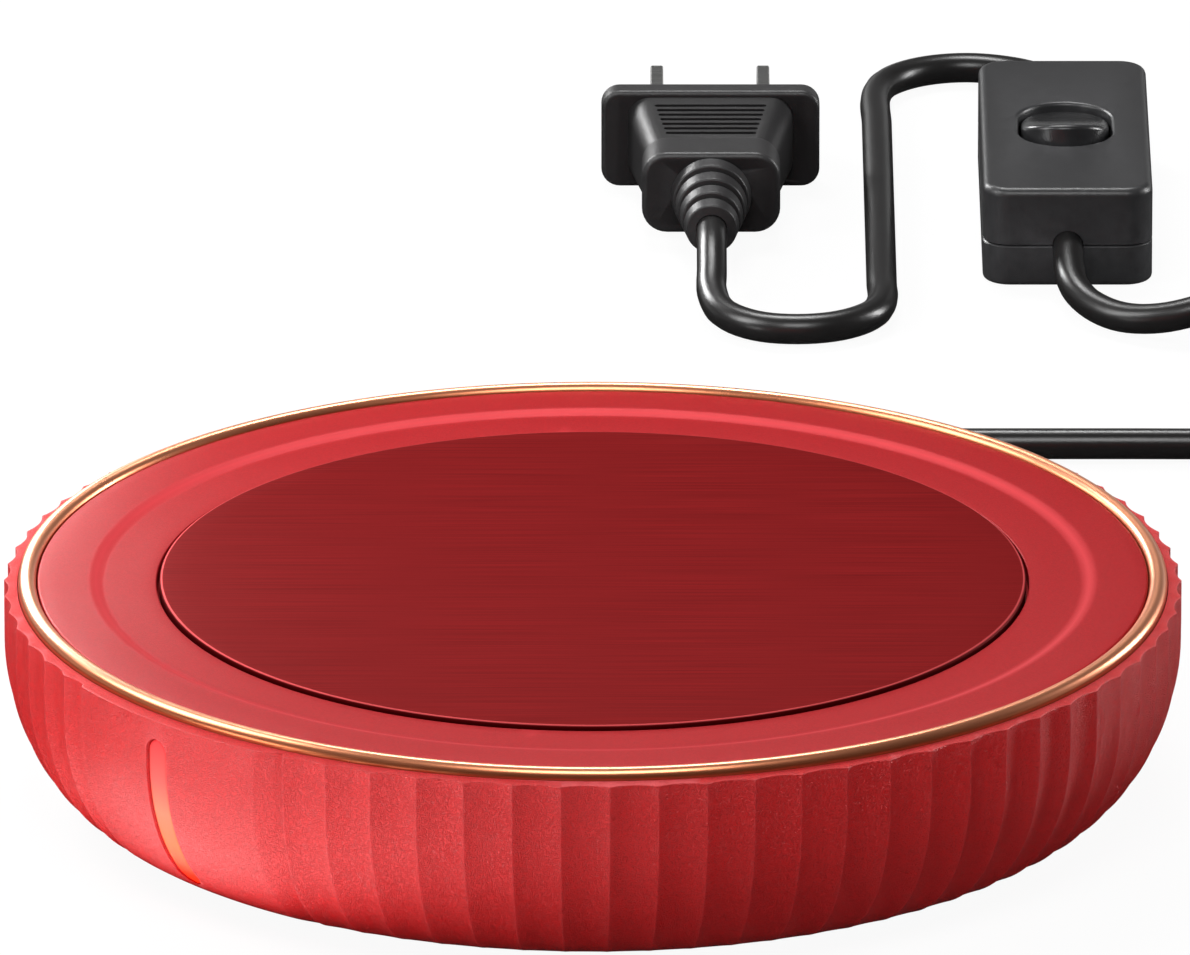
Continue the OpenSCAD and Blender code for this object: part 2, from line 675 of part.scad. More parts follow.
module cord_exit() color("black") lead_frame() tube(concat(exit_route, [coil_in]), cord_d, 8);
module cord_coil() color("black") lead_frame() tube(coil_path, cord_d, 6);
module cord_return() color("black") lead_frame()
  tube(concat([coil_out, coil_out + cord_d * coil_way(coil_total)], return_route), cord_d, 8);
module cord_plug_lead() color("black") lead_frame() tube(plug_route, cord_d, 8);

module coil_tie() color("dimgray") {
  tie_t = 0.4;
  tie_w = 8;
  tie_clear = 0.2;
  tie_in_r = coil_in_r - cord_d / 2;
  tie_bend = tie_in_r - sqrt(tie_in_r * tie_in_r - tie_w * tie_w / 4);
  span = coil_out_r - coil_in_r + cord_d + 2 * tie_clear + tie_bend;
  high = coil_pitch + cord_d + 2 * tie_clear;
  tie_u = coil_centre[0] + (coil_out_r + coil_in_r - tie_bend) / 2;
  lead_frame() translate([tie_u, coil_centre[1] + tie_w / 2, coil_z + coil_pitch / 2])
    rotate([90, 0, 0]) linear_extrude(tie_w) difference() {
      rounded(span + 2 * tie_t, high + 2 * tie_t, 2);
      rounded(span, high, 1.5);
    }
}

// Switch

module switch_plan(w, l, r) translate([switch_u, switch_mid]) rounded(w, l, r);

module case_screws_at() for (s = [-1, 1])
  translate([switch_u + s * case_screw_u, switch_mid + s * case_screw_v, 0]) children();

module cord_hole() along_v(switch_u, switch_v - 1, split_z)
  cylinder(d = cord_bore, h = switch_l + 2, $fn = small);

module switch_case_lower() color("black") lead_frame() difference() {
  chamfer = 0.6;
  union() {
    translate([0, 0, chamfer]) linear_extrude(split_z - chamfer) switch_plan(switch_w, switch_l, case_corner);
    linear_extrude(chamfer)
      switch_plan(switch_w - 2 * chamfer, switch_l - 2 * chamfer, case_corner - chamfer);
  }
  translate([0, 0, case_wall]) linear_extrude(switch_h)
    switch_plan(switch_w - 2 * case_wall, switch_l - 2 * case_wall, case_corner - case_wall);
  cord_hole();
  case_screws_at() translate([0, 0, -1]) {
    cylinder(d = case_screw_d + 2 * gap, h = switch_h, $fn = small);
    cylinder(d = case_screw_d * screw_head + 2 * gap, h = 1.7, $fn = small);
  }
}

module rocker_open() translate([switch_u, switch_mid, pivot_z]) linear_extrude(switch_h)
  stadium(rocker_w + 2 * open_side, rocker_l + 2 * open_end);

module switch_case_upper() color("black") lead_frame() difference() {
  chamfer = 0.8;
  bearing = rocker_w / 2 + open_side;
  union() {
    difference() {
      union() {
        translate([0, 0, split_z]) linear_extrude(switch_h - chamfer - split_z)
          switch_plan(switch_w, switch_l, case_corner);
        translate([0, 0, switch_h - chamfer]) linear_extrude(chamfer)
          switch_plan(switch_w - 2 * chamfer, switch_l - 2 * chamfer, case_corner - chamfer);
      }
      translate([0, 0, split_z - 1]) linear_extrude(switch_h - case_wall - split_z + 1)
        switch_plan(switch_w - 2 * case_wall, switch_l - 2 * case_wall, case_corner - case_wall);
    }
    for (s = [-1, 1]) {
      lug_u = switch_u + s * (bearing + lug_t / 2) - lug_t / 2;
      translate([lug_u, switch_mid - axle_d, pivot_z - lug_drop])
        cube([lug_t, 2 * axle_d, switch_h - chamfer - pivot_z + lug_drop]);
    }
    case_screws_at() translate([0, 0, case_wall])
      cylinder(d = case_boss_d, h = switch_h - chamfer - case_wall, $fn = small);
  }
  rocker_open();
  along_u(switch_u - bearing - lug_t - eps, switch_mid, pivot_z)
    cylinder(d = axle_d + 2 * axle_gap, h = 2 * (bearing + lug_t + eps), $fn = small);
  case_screws_at() cylinder(d = case_screw_d + 2 * screw_gap, h = switch_h - 3, $fn = small);
  cord_hole();
}

module switch_screws() color("silver") lead_frame() case_screws_at()
  translate([0, 0, 0.7]) {
    translate([0, 0, -0.6]) cylinder(d = case_screw_d * screw_head, h = 0.6, $fn = small);
    translate([0, 0, -eps]) cylinder(d = case_screw_d, h = switch_h - 5, $fn = small);
  }

module rocker_pose() lead_frame() translate([switch_u, switch_mid, pivot_z]) rotate([-rocker_tilt, 0, 0])
  children();

module switch_rocker() color("black") rocker_pose() difference() {
  union() {
    intersection() {
      translate([0, 0, -rocker_foot]) linear_extrude(switch_h) stadium(rocker_w, rocker_l);
      rotate([90, 0, 90]) translate([0, 0, -rocker_w]) linear_extrude(2 * rocker_w) polygon([
        [-rocker_l / 2, -rocker_foot], [rocker_l / 2, -rocker_foot],
        [rocker_l / 2, rocker_crown + rocker_rise], [rocker_l / 5, rocker_crown],
        [-rocker_l / 5, rocker_crown], [-rocker_l / 2, rocker_crown + rocker_rise]]);
    }
    along_u(-rocker_w / 2 - axle_over, 0, 0) cylinder(d = axle_d, h = rocker_w + 2 * axle_over, $fn = small);
  }
  translate([0, 0, -rocker_foot - 1])
    cylinder(d = plunger_d + 2 * gap, h = 1 + rocker_foot + 2.4, $fn = small);
}

spring_top = 2.3;
spring_low = -0.6;
module rocker_plunger() color("goldenrod") rocker_pose() {
  tip = -plunger_reach + plunger_d / 2;
  translate([0, 0, tip]) sphere(d = plunger_d, $fn = small);
  translate([0, 0, tip]) cylinder(d = plunger_d, h = spring_low - spring_wire / 2 - gap - tip, $fn = small);
}

module plunger_spring() color("silver") rocker_pose() {
  rings = 8;
  mean_r = (spring_d - spring_wire) / 2;
  path = [for (k = [0 : spring_turns * rings]) let (t = 360 * k / rings, x = k / (spring_turns * rings))
    [mean_r * cos(t), mean_r * sin(t), spring_low + (spring_top - spring_low - spring_wire / 2) * x]];
  tube(path, spring_wire, 4);
}

module contact_bridge() color("goldenrod") lead_frame() translate([switch_u, switch_mid, bridge_z - bridge_t])
  rotate([bridge_tilt, 0, 0]) {
    translate([-bridge_w / 2, -bridge_l / 2, 0]) cube([bridge_w, bridge_l, bridge_t]);
    along_u(-bridge_w / 2, 0, 0) cylinder(d = bridge_rib_d, h = bridge_w, $fn = small);
  }

module switch_terminals() color("goldenrod") lead_frame() translate([switch_u, switch_mid, case_wall]) {
  rest_h = bridge_z - bridge_t - bridge_rib_d / 2 - case_wall - screw_gap;
  rest_w = 1.6;
  reach = 15;
  contact_l = 11;
  translate([-strip_w / 2, -rest_w / 2, 0]) cube([strip_w, reach + rest_w / 2, strip_t]);
  translate([-strip_w / 2, -rest_w / 2, 0]) cube([strip_w, rest_w, rest_h]);
  translate([-strip_w / 2, -reach, 0]) cube([strip_w, contact_l, strip_t]);
}

// Plug

module plug_block(w, h, v, l, r) translate([plug_u, v, plug_z]) rotate([-90, 0, 0]) linear_extrude(l)
  rounded(w, h, r);

module grip_face() {
  start = plug_v + relief_l + collar_l + 1.5;
  end = plug_face - flange_t - 2;
  ribs = 7;
  side = 2.5;
  step = (end - start) / ribs;
  for (k = [0 : ribs - 1]) translate([-grip_w0 / 2 + side, start + step * k])
    square([grip_w0 - 2 * side, step * 0.5]);
}

module blade_slots(clear) for (s = [-1, 1]) {
  slot_u = plug_u + s * blade_gap / 2 - blade_t / 2 - clear;
  translate([slot_u, plug_face - blade_in - clear, plug_z - blade_w / 2 - clear])
    cube([blade_t + 2 * clear, blade_in + clear + 1, blade_w + 2 * clear]);
}

module plug_body() color("black") lead_frame() difference() {
  rib_l = relief_l / 4;
  collar_v = plug_v + relief_l;
  grip_v = collar_v + collar_l;
  union() {
    along_v(plug_u, plug_v, plug_z) rotate_extrude($fn = mid) polygon(concat(
      [[0, 0]],
      [for (k = [0 : 3]) let (d = relief_tip_d + (relief_d - relief_tip_d) * k / 3) each [[d / 2, rib_l * k],
        [d / 2, rib_l * (k + 0.6)], [d / 2 - 0.9, rib_l * (k + 0.65)], [d / 2 - 0.9, rib_l * (k + 0.98)]]],
      [[relief_d / 2, relief_l], [relief_d / 2, relief_l + 1], [0, relief_l + 1]]));
    plug_block(collar_w, grip_h - 0.6, collar_v, collar_l, 2.5);
    hull() {
      plug_block(grip_w0, grip_h - 1.4, grip_v - eps, 0.1, 2.5);
      plug_block(grip_w1, grip_h, plug_face - flange_t, 0.1, 2.5);
    }
    plug_block(flange_w, flange_h, plug_face - flange_t, flange_t, 2);
  }
  blade_slots(screw_gap);
  for (s = [-1, 1]) translate([plug_u, 0, plug_z + s * (grip_h / 2 - 0.3) - (s < 0 ? 2 : 0)])
    linear_extrude(2) grip_face();
}

module plug_blades() color("silver") lead_frame() for (s = [-1, 1])
  translate([plug_u + s * blade_gap / 2 - blade_t / 2, plug_face - blade_in, plug_z])
    rotate([90, 0, 90]) linear_extrude(blade_t) difference() {
      tip = 1.5;
      end = blade_in + blade_l;
      polygon([[0, -blade_w / 2], [end - tip, -blade_w / 2], [end, -blade_w / 2 + tip],
        [end, blade_w / 2 - tip], [end - tip, blade_w / 2], [0, blade_w / 2]]);
      translate([end - 4, 0]) circle(d = blade_hole, $fn = small);
    }

body_shell();
trim_ring();
top_cover();
heating_plate();
plate_gasket();
heating_element();
insulation_pad();
clamp_plate();
clamp_screws();
thermal_fuse();
fuse_clip();
heater_leads();
mains_wires();
splice_caps();
light_guide();
lamp_board();
lamp();
lamp_leads();
base_plate();
base_screws();
feet();
cord_gland();
cord_clamp();
cord_clamp_screws();
cord_exit();
cord_coil();
coil_tie();
cord_return();
cord_plug_lead();
switch_case_lower();
switch_case_upper();
switch_screws();
switch_rocker();
rocker_plunger();
plunger_spring();
contact_bridge();
switch_terminals();
plug_body();
plug_blades();
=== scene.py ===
"""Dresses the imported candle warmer: moulded detail, finishes, lead, studio and camera.

Lengths are written in millimetres and become metres when a mesh is made.
"""

import logging
import math
from dataclasses import dataclass
from enum import Enum
from typing import Callable, Iterable, Sequence

import bpy
from mathutils import Matrix, Vector


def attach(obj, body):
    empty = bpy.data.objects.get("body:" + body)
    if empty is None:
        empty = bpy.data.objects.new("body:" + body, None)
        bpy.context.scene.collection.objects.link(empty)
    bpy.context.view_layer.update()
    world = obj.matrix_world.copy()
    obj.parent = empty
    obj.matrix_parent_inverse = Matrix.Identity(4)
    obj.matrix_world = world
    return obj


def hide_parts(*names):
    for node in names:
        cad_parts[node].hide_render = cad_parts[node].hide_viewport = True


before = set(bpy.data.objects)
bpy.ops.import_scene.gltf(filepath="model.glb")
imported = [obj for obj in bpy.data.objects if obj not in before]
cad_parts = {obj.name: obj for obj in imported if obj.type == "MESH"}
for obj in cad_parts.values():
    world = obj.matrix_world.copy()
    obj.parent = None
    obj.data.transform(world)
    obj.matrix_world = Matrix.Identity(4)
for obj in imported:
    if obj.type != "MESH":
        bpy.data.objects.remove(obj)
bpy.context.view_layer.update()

LOG = logging.getLogger("candle_warmer")
MM = 0.001
SHARP_DEG = 34.0
FLAT_SIDES = 6
LEAD_TURN_DEG = 47.0
ON_AXIS = 1e-6
LEAST_CORNER = 0.05

Point2 = tuple[float, float]
Point3 = tuple[float, float, float]
Row = Sequence[Point3]
Move = Callable[[Point3], Point3]
Srgb = tuple[int, int, int]
Socket = bpy.types.NodeSocket
Piece = bpy.types.Object


class Body(Enum):
    """Bodies of the frame that a made piece can ride on."""

    WARMER = "warmer"
    ROCKER = "rocker"


class Join(Enum):
    """Ways to combine two closed meshes."""

    CUT = "DIFFERENCE"
    ADD = "UNION"


def lead_point(place: Point3) -> Point3:
    """Turn a point of the lead's axes (right, back and up) into the object's frame, in the same unit."""
    u, v, z = place
    turn = math.radians(LEAD_TURN_DEG)
    return (u * math.cos(turn) - v * math.sin(turn), u * math.sin(turn) + v * math.cos(turn), z)


def smooth_step(x: float) -> float:
    """Ease from 0 to 1 as x goes from 0 to 1."""
    x = min(1.0, max(0.0, x))
    return x * x * (3.0 - 2.0 * x)


def spread(start: float, end: float, count: int) -> list[float]:
    """List count + 1 evenly spaced values from start to end."""
    return [start + (end - start) * k / count for k in range(count + 1)]


def polar(radius: float, angle: float) -> Point2:
    """Give the point at a radius and an angle in radians."""
    return (radius * math.cos(angle), radius * math.sin(angle))


def turns(count: int) -> list[float]:
    """List count even angles of a full turn, in radians."""
    return [2.0 * math.pi * k / count for k in range(count)]


def circle(diameter: float, count: int = 32) -> list[Point2]:
    """Outline a circle about the origin, counter-clockwise."""
    return [polar(diameter / 2.0, a) for a in turns(count)]


def stadium(width: float, length: float, steps: int) -> list[Point2]:
    """Outline a slot with round ends about the origin, its length along y, counter-clockwise.

    Args:
        width: Width of the slot.
        length: Length over its round ends.
        steps: Steps of each round end.

    Returns:
        The outline's points.
    """
    r, reach = width / 2.0, (length - width) / 2.0
    outline: list[Point2] = []
    for start, shift in ((0.0, reach), (math.pi, -reach)):
        outline += [(r * math.cos(a), shift + r * math.sin(a)) for a in spread(start, start + math.pi, steps)]
    return outline


def rounded_path(corners: Sequence[Point3], steps: int = 6) -> list[Point2]:
    """Round the corners of a closed outline.

    Args:
        corners: Each corner's two coordinates and its radius.
        steps: Points along each rounded corner, less one.

    Returns:
        The outline's points, in the corners' order.
    """
    path: list[Point2] = []
    for i, (x, y, radius) in enumerate(corners):
        here = Vector((x, y))
        if radius <= 0.0:
            path.append((x, y))
            continue
        back = (Vector(corners[i - 1][:2]) - here).normalized()
        ahead = (Vector(corners[(i + 1) % len(corners)][:2]) - here).normalized()
        half = back.angle(ahead) / 2.0
        reach = radius / math.tan(half)
        centre = here + (back + ahead).normalized() * (radius / math.sin(half))
        first = here + back * reach - centre
        last = here + ahead * reach - centre
        sweep = first.angle_signed(last)
        for k in range(steps + 1):
            spoke = first.copy()
            spoke.rotate(Matrix.Rotation(-sweep * k / steps, 2))
            path.append((centre.x + spoke.x, centre.y + spoke.y))
    return path


def rounded_rectangle(width: float, length: float, radius: float, inset: float = 0.0) -> list[Point2]:
    """Outline a rectangle about the origin with rounded corners, counter-clockwise.

    Args:
        width: Size on the first axis.
        length: Size on the second axis.
        radius: Radius of the corners.
        inset: How far the outline is moved in.

    Returns:
        The outline's points.
    """
    x, y = (width - 2.0 * inset) / 2.0, (length - 2.0 * inset) / 2.0
    r = max(LEAST_CORNER, radius - inset)
    return rounded_path([(-x, -y, r), (x, -y, r), (x, y, r), (-x, y, r)], 8)


def round_over(radius: float, z: float, top: bool, steps: int = 5) -> list[Point2]:
    """List the insets and heights of a rounded edge.

    Args:
        radius: Radius of the edge.
        z: Height of the face that the edge meets.
        top: Whether that face is the upper one.
        steps: Steps of the rounding.

    Returns:
        Pairs of inset and height, from the lowest up.
    """
    angles = spread(0.0, math.pi / 2.0, steps)
    side = -1.0 if top else 1.0
    pairs = [(radius * (1.0 - math.cos(a)), z + side * radius * (1.0 - math.sin(a))) for a in angles]
    return pairs if top else pairs[::-1]


def upright(outline: Sequence[Point2], heights: Point2, across: float, along: float) -> list[Row]:
    """Repeat an outline at two heights, moved across and along."""
    return [[(x + across, y + along, z) for x, y in outline] for z in heights]


def lengthwise(outline: Sequence[Point2], start: float, end: float, up: float) -> list[Row]:
    """Repeat an outline of across and up at the two ends of a run along the second axis."""
    return [[(-a, y, up + b) for a, b in outline] for y in (start, end)]


class MeshDraft:
    """Points and faces in millimetres, gathered before they become one mesh."""

    def __init__(self) -> None:
        """Start with no points and no faces."""
        self.points: list[Point3] = []
        self.faces: list[tuple[int, ...]] = []

    def ring(self, points: Iterable[Point3]) -> list[int]:
        """Add a row of points and return their numbers."""
        start = len(self.points)
        self.points.extend(points)
        return list(range(start, len(self.points)))

    def _skin(self, rings: Sequence[Sequence[int]], around: bool) -> None:
        """Join each row to the next with quads and close the skin.

        Args:
            rings: Numbers of each row's points, counter-clockwise as seen from the next row's side.
            around: Whether the last row joins the first; both ends get a face otherwise.
        """
        for low, high in zip(rings, [*rings[1:], rings[0]] if around else rings[1:]):
            for i in range(len(low)):
                j = (i + 1) % len(low)
                face = tuple(dict.fromkeys((low[i], low[j], high[j], high[i])))
                if len(face) > 2:
                    self.faces.append(face)
        if not around:
            self.faces += [tuple(reversed(rings[0])), tuple(rings[-1])]

    def loft(self, rows: Sequence[Row], around: bool = False) -> None:
        """Add a closed skin through rows of points, which joins its own start where it goes around."""
        self._skin([self.ring(row) for row in rows], around)

    def revolve(self, profile: Sequence[Point2], count: int) -> None:
        """Turn a closed outline of radius and height about Z.

        Args:
            profile: Points of radius and height, counter-clockwise with the radius to the right.
            count: Steps round the axis.
        """
        rings = []
        for r, z in profile:
            if r < ON_AXIS:
                rings.append(self.ring([(0.0, 0.0, z)]) * count)
            else:
                rings.append(self.ring((*polar(r, a), z) for a in turns(count)))
        self._skin(rings, True)

    def place(self, move: Move) -> None:
        """Send every point through a function of place."""
        self.points = [move(p) for p in self.points]

    def to_object(self, name: str, sharp_deg: float = SHARP_DEG) -> Piece:
        """Make the mesh object, in metres, shaded smooth apart from edges over an angle.

        Args:
            name: Name of the piece.
            sharp_deg: Angle over which an edge is sharp.

        Returns:
            The new object, linked to the scene.
        """
        mesh = bpy.data.meshes.new(name)
        mesh.from_pydata([(x * MM, y * MM, z * MM) for x, y, z in self.points], [], self.faces)
        mesh.validate()
        shade(mesh, sharp_deg)
        return link(name, mesh)


def link(name: str, data: bpy.types.ID) -> Piece:
    """Make an object of a mesh, curve, lamp or camera and link it to the scene."""
    made = bpy.data.objects.new(name, data)
    bpy.context.scene.collection.objects.link(made)
    return made


def shade(mesh: bpy.types.Mesh, sharp_deg: float = SHARP_DEG) -> None:
    """Shade a mesh smooth but for its many-sided flat faces, and mark the edges over an angle as sharp."""
    mesh.polygons.foreach_set("use_smooth", [len(face.vertices) <= FLAT_SIDES for face in mesh.polygons])
    mesh.set_sharp_from_angle(angle=math.radians(sharp_deg))


def solid(name: str, rows: Sequence[Row], move: Move = tuple, around: bool = False) -> Piece:
    """Make a closed mesh through rows of points.

    Args:
        name: Name of the object.
        rows: The rows, each counter-clockwise as seen from the next.
        move: Function that sends a point to its place.
        around: Whether the last row joins the first.

    Returns:
        The object.
    """
    draft = MeshDraft()
    draft.loft(rows, around)
    draft.place(move)
    return draft.to_object(name)


def lathed(name: str, profile: Sequence[Point2], count: int, move: Move = tuple) -> Piece:
    """Make a mesh by turning a closed outline of radius and height about Z.

    Args:
        name: Name of the object.
        profile: The outline, counter-clockwise with the radius to the right.
        count: Steps round the axis.
        move: Function that sends a point to its place.

    Returns:
        The object.
    """
    draft = MeshDraft()
    draft.revolve(profile, count)
    draft.place(move)
    return draft.to_object(name)


def bake(piece: Piece) -> None:
    """Turn a piece's modifiers into its mesh.

    Args:
        piece: The piece.
    """
    bpy.context.view_layer.update()
    result = bpy.data.meshes.new_from_object(piece.evaluated_get(bpy.context.evaluated_depsgraph_get()))
    old = piece.data
    piece.modifiers.clear()
    piece.data = result
    result.name = piece.name
    bpy.data.meshes.remove(old)


def combine(piece: Piece, other: Piece, way: Join) -> None:
    """Cut a closed mesh out of a piece or add it, and delete it.

    Args:
        piece: The piece that stays.
        other: The mesh that is cut out or added.
        way: Whether it is cut out or added.
    """
    step = piece.modifiers.new("combine", "BOOLEAN")
    step.operation = way.value
    step.solver = "MANIFOLD"
    step.object = other
    bake(piece)
    spare = other.data
    bpy.data.objects.remove(other)
    bpy.data.meshes.remove(spare)
    shade(piece.data)


def weigh_normals(piece: Piece) -> None:
    """Let a piece's broad faces set its shading, so that its flats look flat."""
    step = piece.modifiers.new("weigh", "WEIGHTED_NORMAL")
    step.keep_sharp = True
    bake(piece)


class Graph:
    """A node tree with short ways to add nodes and join them."""

    NUMBER_RESULTS = ("LENGTH", "DOT_PRODUCT")
    NUMBER_SOCKETS = (2, 3, 0)
    COLOUR_SOCKETS = (6, 7, 2)

    def __init__(self, tree: bpy.types.NodeTree) -> None:
        """Keep the tree that nodes are added to."""
        self.tree = tree

    def add(self, kind: str, **settings: object) -> bpy.types.Node:
        """Add a node and set its properties by name."""
        node = self.tree.nodes.new(kind)
        for key, value in settings.items():
            setattr(node, key, value)
        return node

    def feed(self, socket: Socket, value: object) -> None:
        """Link a socket into an input, or set the input to a plain value."""
        if isinstance(value, Socket):
            self.tree.links.new(value, socket)
        else:
            socket.default_value = value

    def feed_all(self, node: bpy.types.Node, values: dict[int | str, object]) -> bpy.types.Node:
        """Feed a node's inputs by number or name and return the node."""
        for key, value in values.items():
            self.feed(node.inputs[key], value)
        return node

    def math(self, operation: str, first: object, second: object = 0.0, third: object = 0.0) -> Socket:
        """Add a math node on up to three sockets or numbers and return its result."""
        node = self.add("ShaderNodeMath", operation=operation)
        return self.feed_all(node, {0: first, 1: second, 2: third}).outputs[0]

    def vector(self, operation: str, first: object, second: object = (0.0, 0.0, 0.0)) -> Socket:
        """Add a vector math node on two sockets or vectors and return its result."""
        node = self.add("ShaderNodeVectorMath", operation=operation)
        self.feed_all(node, {0: first, 1: second})
        return node.outputs["Value" if operation in self.NUMBER_RESULTS else "Vector"]

    def remap(self, value: object, low: float, high: float,
              to_low: float = 0.0, to_high: float = 1.0) -> Socket:
        """Map a value from one range to another, held at both ends, and return the result."""
        node = self.add("ShaderNodeMapRange", clamp=True)
        names = ("Value", "From Min", "From Max", "To Min", "To Max")
        return self.feed_all(node, dict(zip(names, (value, low, high, to_low, to_high)))).outputs["Result"]

    def mix(self, mask: object, first: object, second: object, colours: bool = False) -> Socket:
        """Blend two numbers, or two colours, by a mask and return the result."""
        node = self.add("ShaderNodeMix", data_type="RGBA" if colours else "FLOAT")
        one, two, out = self.COLOUR_SOCKETS if colours else self.NUMBER_SOCKETS
        return self.feed_all(node, {0: mask, one: first, two: second}).outputs[out]

    def tint(self, mask: object, colour: object, other: object) -> Socket:
        """Blend two colours by a mask and return the result."""
        return self.mix(mask, colour, other, True)

    def here(self) -> Socket:
        """Give the point in the object's own coordinates."""
        return self.add("ShaderNodeTexCoord").outputs["Object"]

    def height(self, point: Socket) -> Socket:
        """Give a point's upward part."""
        return self.feed_all(self.add("ShaderNodeSeparateXYZ"), {0: point}).outputs["Z"]

    def radius(self) -> Socket:
        """Give the distance from the object's upright axis."""
        return self.vector("LENGTH", self.vector("MULTIPLY", self.here(), (1.0, 1.0, 0.0)))

    def noise(self, scale: object, detail: float, twist: float = 0.0, point: Socket | None = None) -> Socket:
        """Add noise in the object's own coordinates, or at a point, and return its value."""
        values = {"Vector": point or self.here(), "Scale": scale, "Detail": detail, "Distortion": twist}
        return self.feed_all(self.add("ShaderNodeTexNoise"), values).outputs["Fac"]

    def ray_kinds(self) -> tuple[Socket, Socket]:
        """Tell the camera's rays, and rays that were mirrored or let through."""
        path = self.add("ShaderNodeLightPath").outputs
        return path["Is Camera Ray"], self.math("MAXIMUM", path["Is Glossy Ray"], path["Is Transmission Ray"])

    def effect(self, effect: "Effect", **values: object) -> Socket:
        """Place a shared effect with its own values, by input name, and return its result."""
        node = self.add("ShaderNodeGroup", node_tree=effect.tree())
        return self.feed_all(node, values).outputs[effect.output]


def linear(colour: Srgb) -> tuple[float, ...]:
    """Turn an sRGB colour of 0 to 255 into the linear colour that a shader takes."""
    shares = [c / 255.0 for c in colour]
    return (*(x / 12.92 if x <= 0.04045 else ((x + 0.055) / 1.055) ** 2.4 for x in shares), 1.0)


def toned(colour: Srgb, gain: float) -> tuple[float, ...]:
    """Give a colour's linear values times a gain, held at 1."""
    return (*(min(1.0, c * gain) for c in linear(colour)[:3]), 1.0)


@dataclass(frozen=True)
class Effect:
    """A surface effect that finishes share: a node group of numbers, built on first use.

    Attributes:
        name: Name of the group.
        output: Name of its result.
        fill: Function that adds the nodes, given the graph and the inputs, and returns the result.
        inputs: Names of the inputs.
    """

    name: str
    output: str
    fill: Callable[..., Socket]
    inputs: tuple[str, ...]

    def tree(self) -> bpy.types.NodeTree:
        """Give the node group, made on first use.

        Returns:
            The group.
        """
        found = bpy.data.node_groups.get(self.name)
        if found:
            return found
        tree = bpy.data.node_groups.new(self.name, "ShaderNodeTree")
        for side, keys in (("INPUT", self.inputs), ("OUTPUT", (self.output,))):
            for key in keys:
                tree.interface.new_socket(key, in_out=side, socket_type="NodeSocketFloat")
        graph = Graph(tree)
        entry = graph.add("NodeGroupInput")
        result = self.fill(graph, *(entry.outputs[key] for key in self.inputs))
        graph.feed(graph.add("NodeGroupOutput").inputs[self.output], result)
        return tree


def fill_grain(graph: Graph, scale: Socket) -> Socket:
    """Add a fine leather-like mould grain and return its height.

    Args:
        graph: The group's graph.
        scale: Cells per metre.

    Returns:
        The grain's height.
    """
    fine_scale, fine_share, cell_share, cell_width = 2.7, 0.35, 0.65, 0.16
    worm = graph.noise(scale, 2.0, 1.6)
    fine = graph.noise(graph.math("MULTIPLY", scale, fine_scale), 1.0, 0.6)
    ridge = graph.math("ABSOLUTE", graph.math("SUBTRACT", worm, 0.5))
    cell = graph.remap(ridge, 0.0, cell_width, 1.0, 0.0)
    return graph.math("MULTIPLY_ADD", fine, fine_share, graph.math("MULTIPLY", cell, cell_share))


def fill_fleck(graph: Graph, scale: Socket) -> Socket:
    """Add fine metal flecks in paint and return each fleck's value."""
    cells = graph.add("ShaderNodeTexVoronoi", feature="F1")
    graph.feed_all(cells, {"Vector": graph.here(), "Scale": scale})
    return graph.feed_all(graph.add("ShaderNodeSeparateColor"), {0: cells.outputs["Color"]}).outputs[0]


def fill_lines(graph: Graph, across: Socket, along: Socket) -> Socket:
    """Add straight brush marks along the lead's u axis and return their value.

    Args:
        graph: The group's graph.
        across: Marks per metre across the brushing.
        along: Breaks per metre along it.

    Returns:
        The marks' value.
    """
    turn = graph.add("ShaderNodeMapping", vector_type="POINT")
    graph.feed_all(turn, {"Vector": graph.here(), "Rotation": (0.0, 0.0, math.radians(-LEAD_TURN_DEG))})
    scale = graph.feed_all(graph.add("ShaderNodeCombineXYZ"), {"X": along, "Y": across, "Z": along})
    stretched = graph.vector("MULTIPLY", turn.outputs["Vector"], scale.outputs["Vector"])
    return graph.noise(1.0, 3.0, point=stretched)


def fill_smudge(graph: Graph, scale: Socket) -> Socket:
    """Add soft uneven patches from handling and return their value."""
    return graph.remap(graph.noise(scale, 4.0, 0.4), 0.3, 0.7)


def fill_wear_and_highlight(graph: Graph, reach: Socket) -> Socket:
    """Add paler edges with breaks in them, rubbed wear and on the shell a painted highlight, and return how
    far a place takes the edge colour.

    Args:
        graph: The group's graph.
        reach: Bend at which an edge takes its full edge colour.

    Returns:
        How far a place takes the edge colour.
    """
    flat, breaks, least = 0.5, 700.0, 0.55
    bend = graph.add("ShaderNodeNewGeometry").outputs["Pointiness"]
    raised = graph.math("DIVIDE", graph.math("SUBTRACT", bend, flat), reach)
    broken = graph.remap(graph.noise(breaks, 3.0), 0.25, 0.6, least, 1.0)
    return graph.math("MULTIPLY", graph.remap(raised, 0.0, 1.0), broken)


GRAIN = Effect("moulded_grain", "Height", fill_grain, ("Scale",))
FLECK = Effect("metal_fleck", "Fleck", fill_fleck, ("Scale",))
LINES = Effect("brushed_lines", "Line", fill_lines, ("Across", "Along"))
SMUDGE = Effect("handling_smudge", "Patch", fill_smudge, ("Scale",))
WEAR_AND_HIGHLIGHT = Effect("edge_wear_and_highlight", "Edge", fill_wear_and_highlight, ("Reach",))


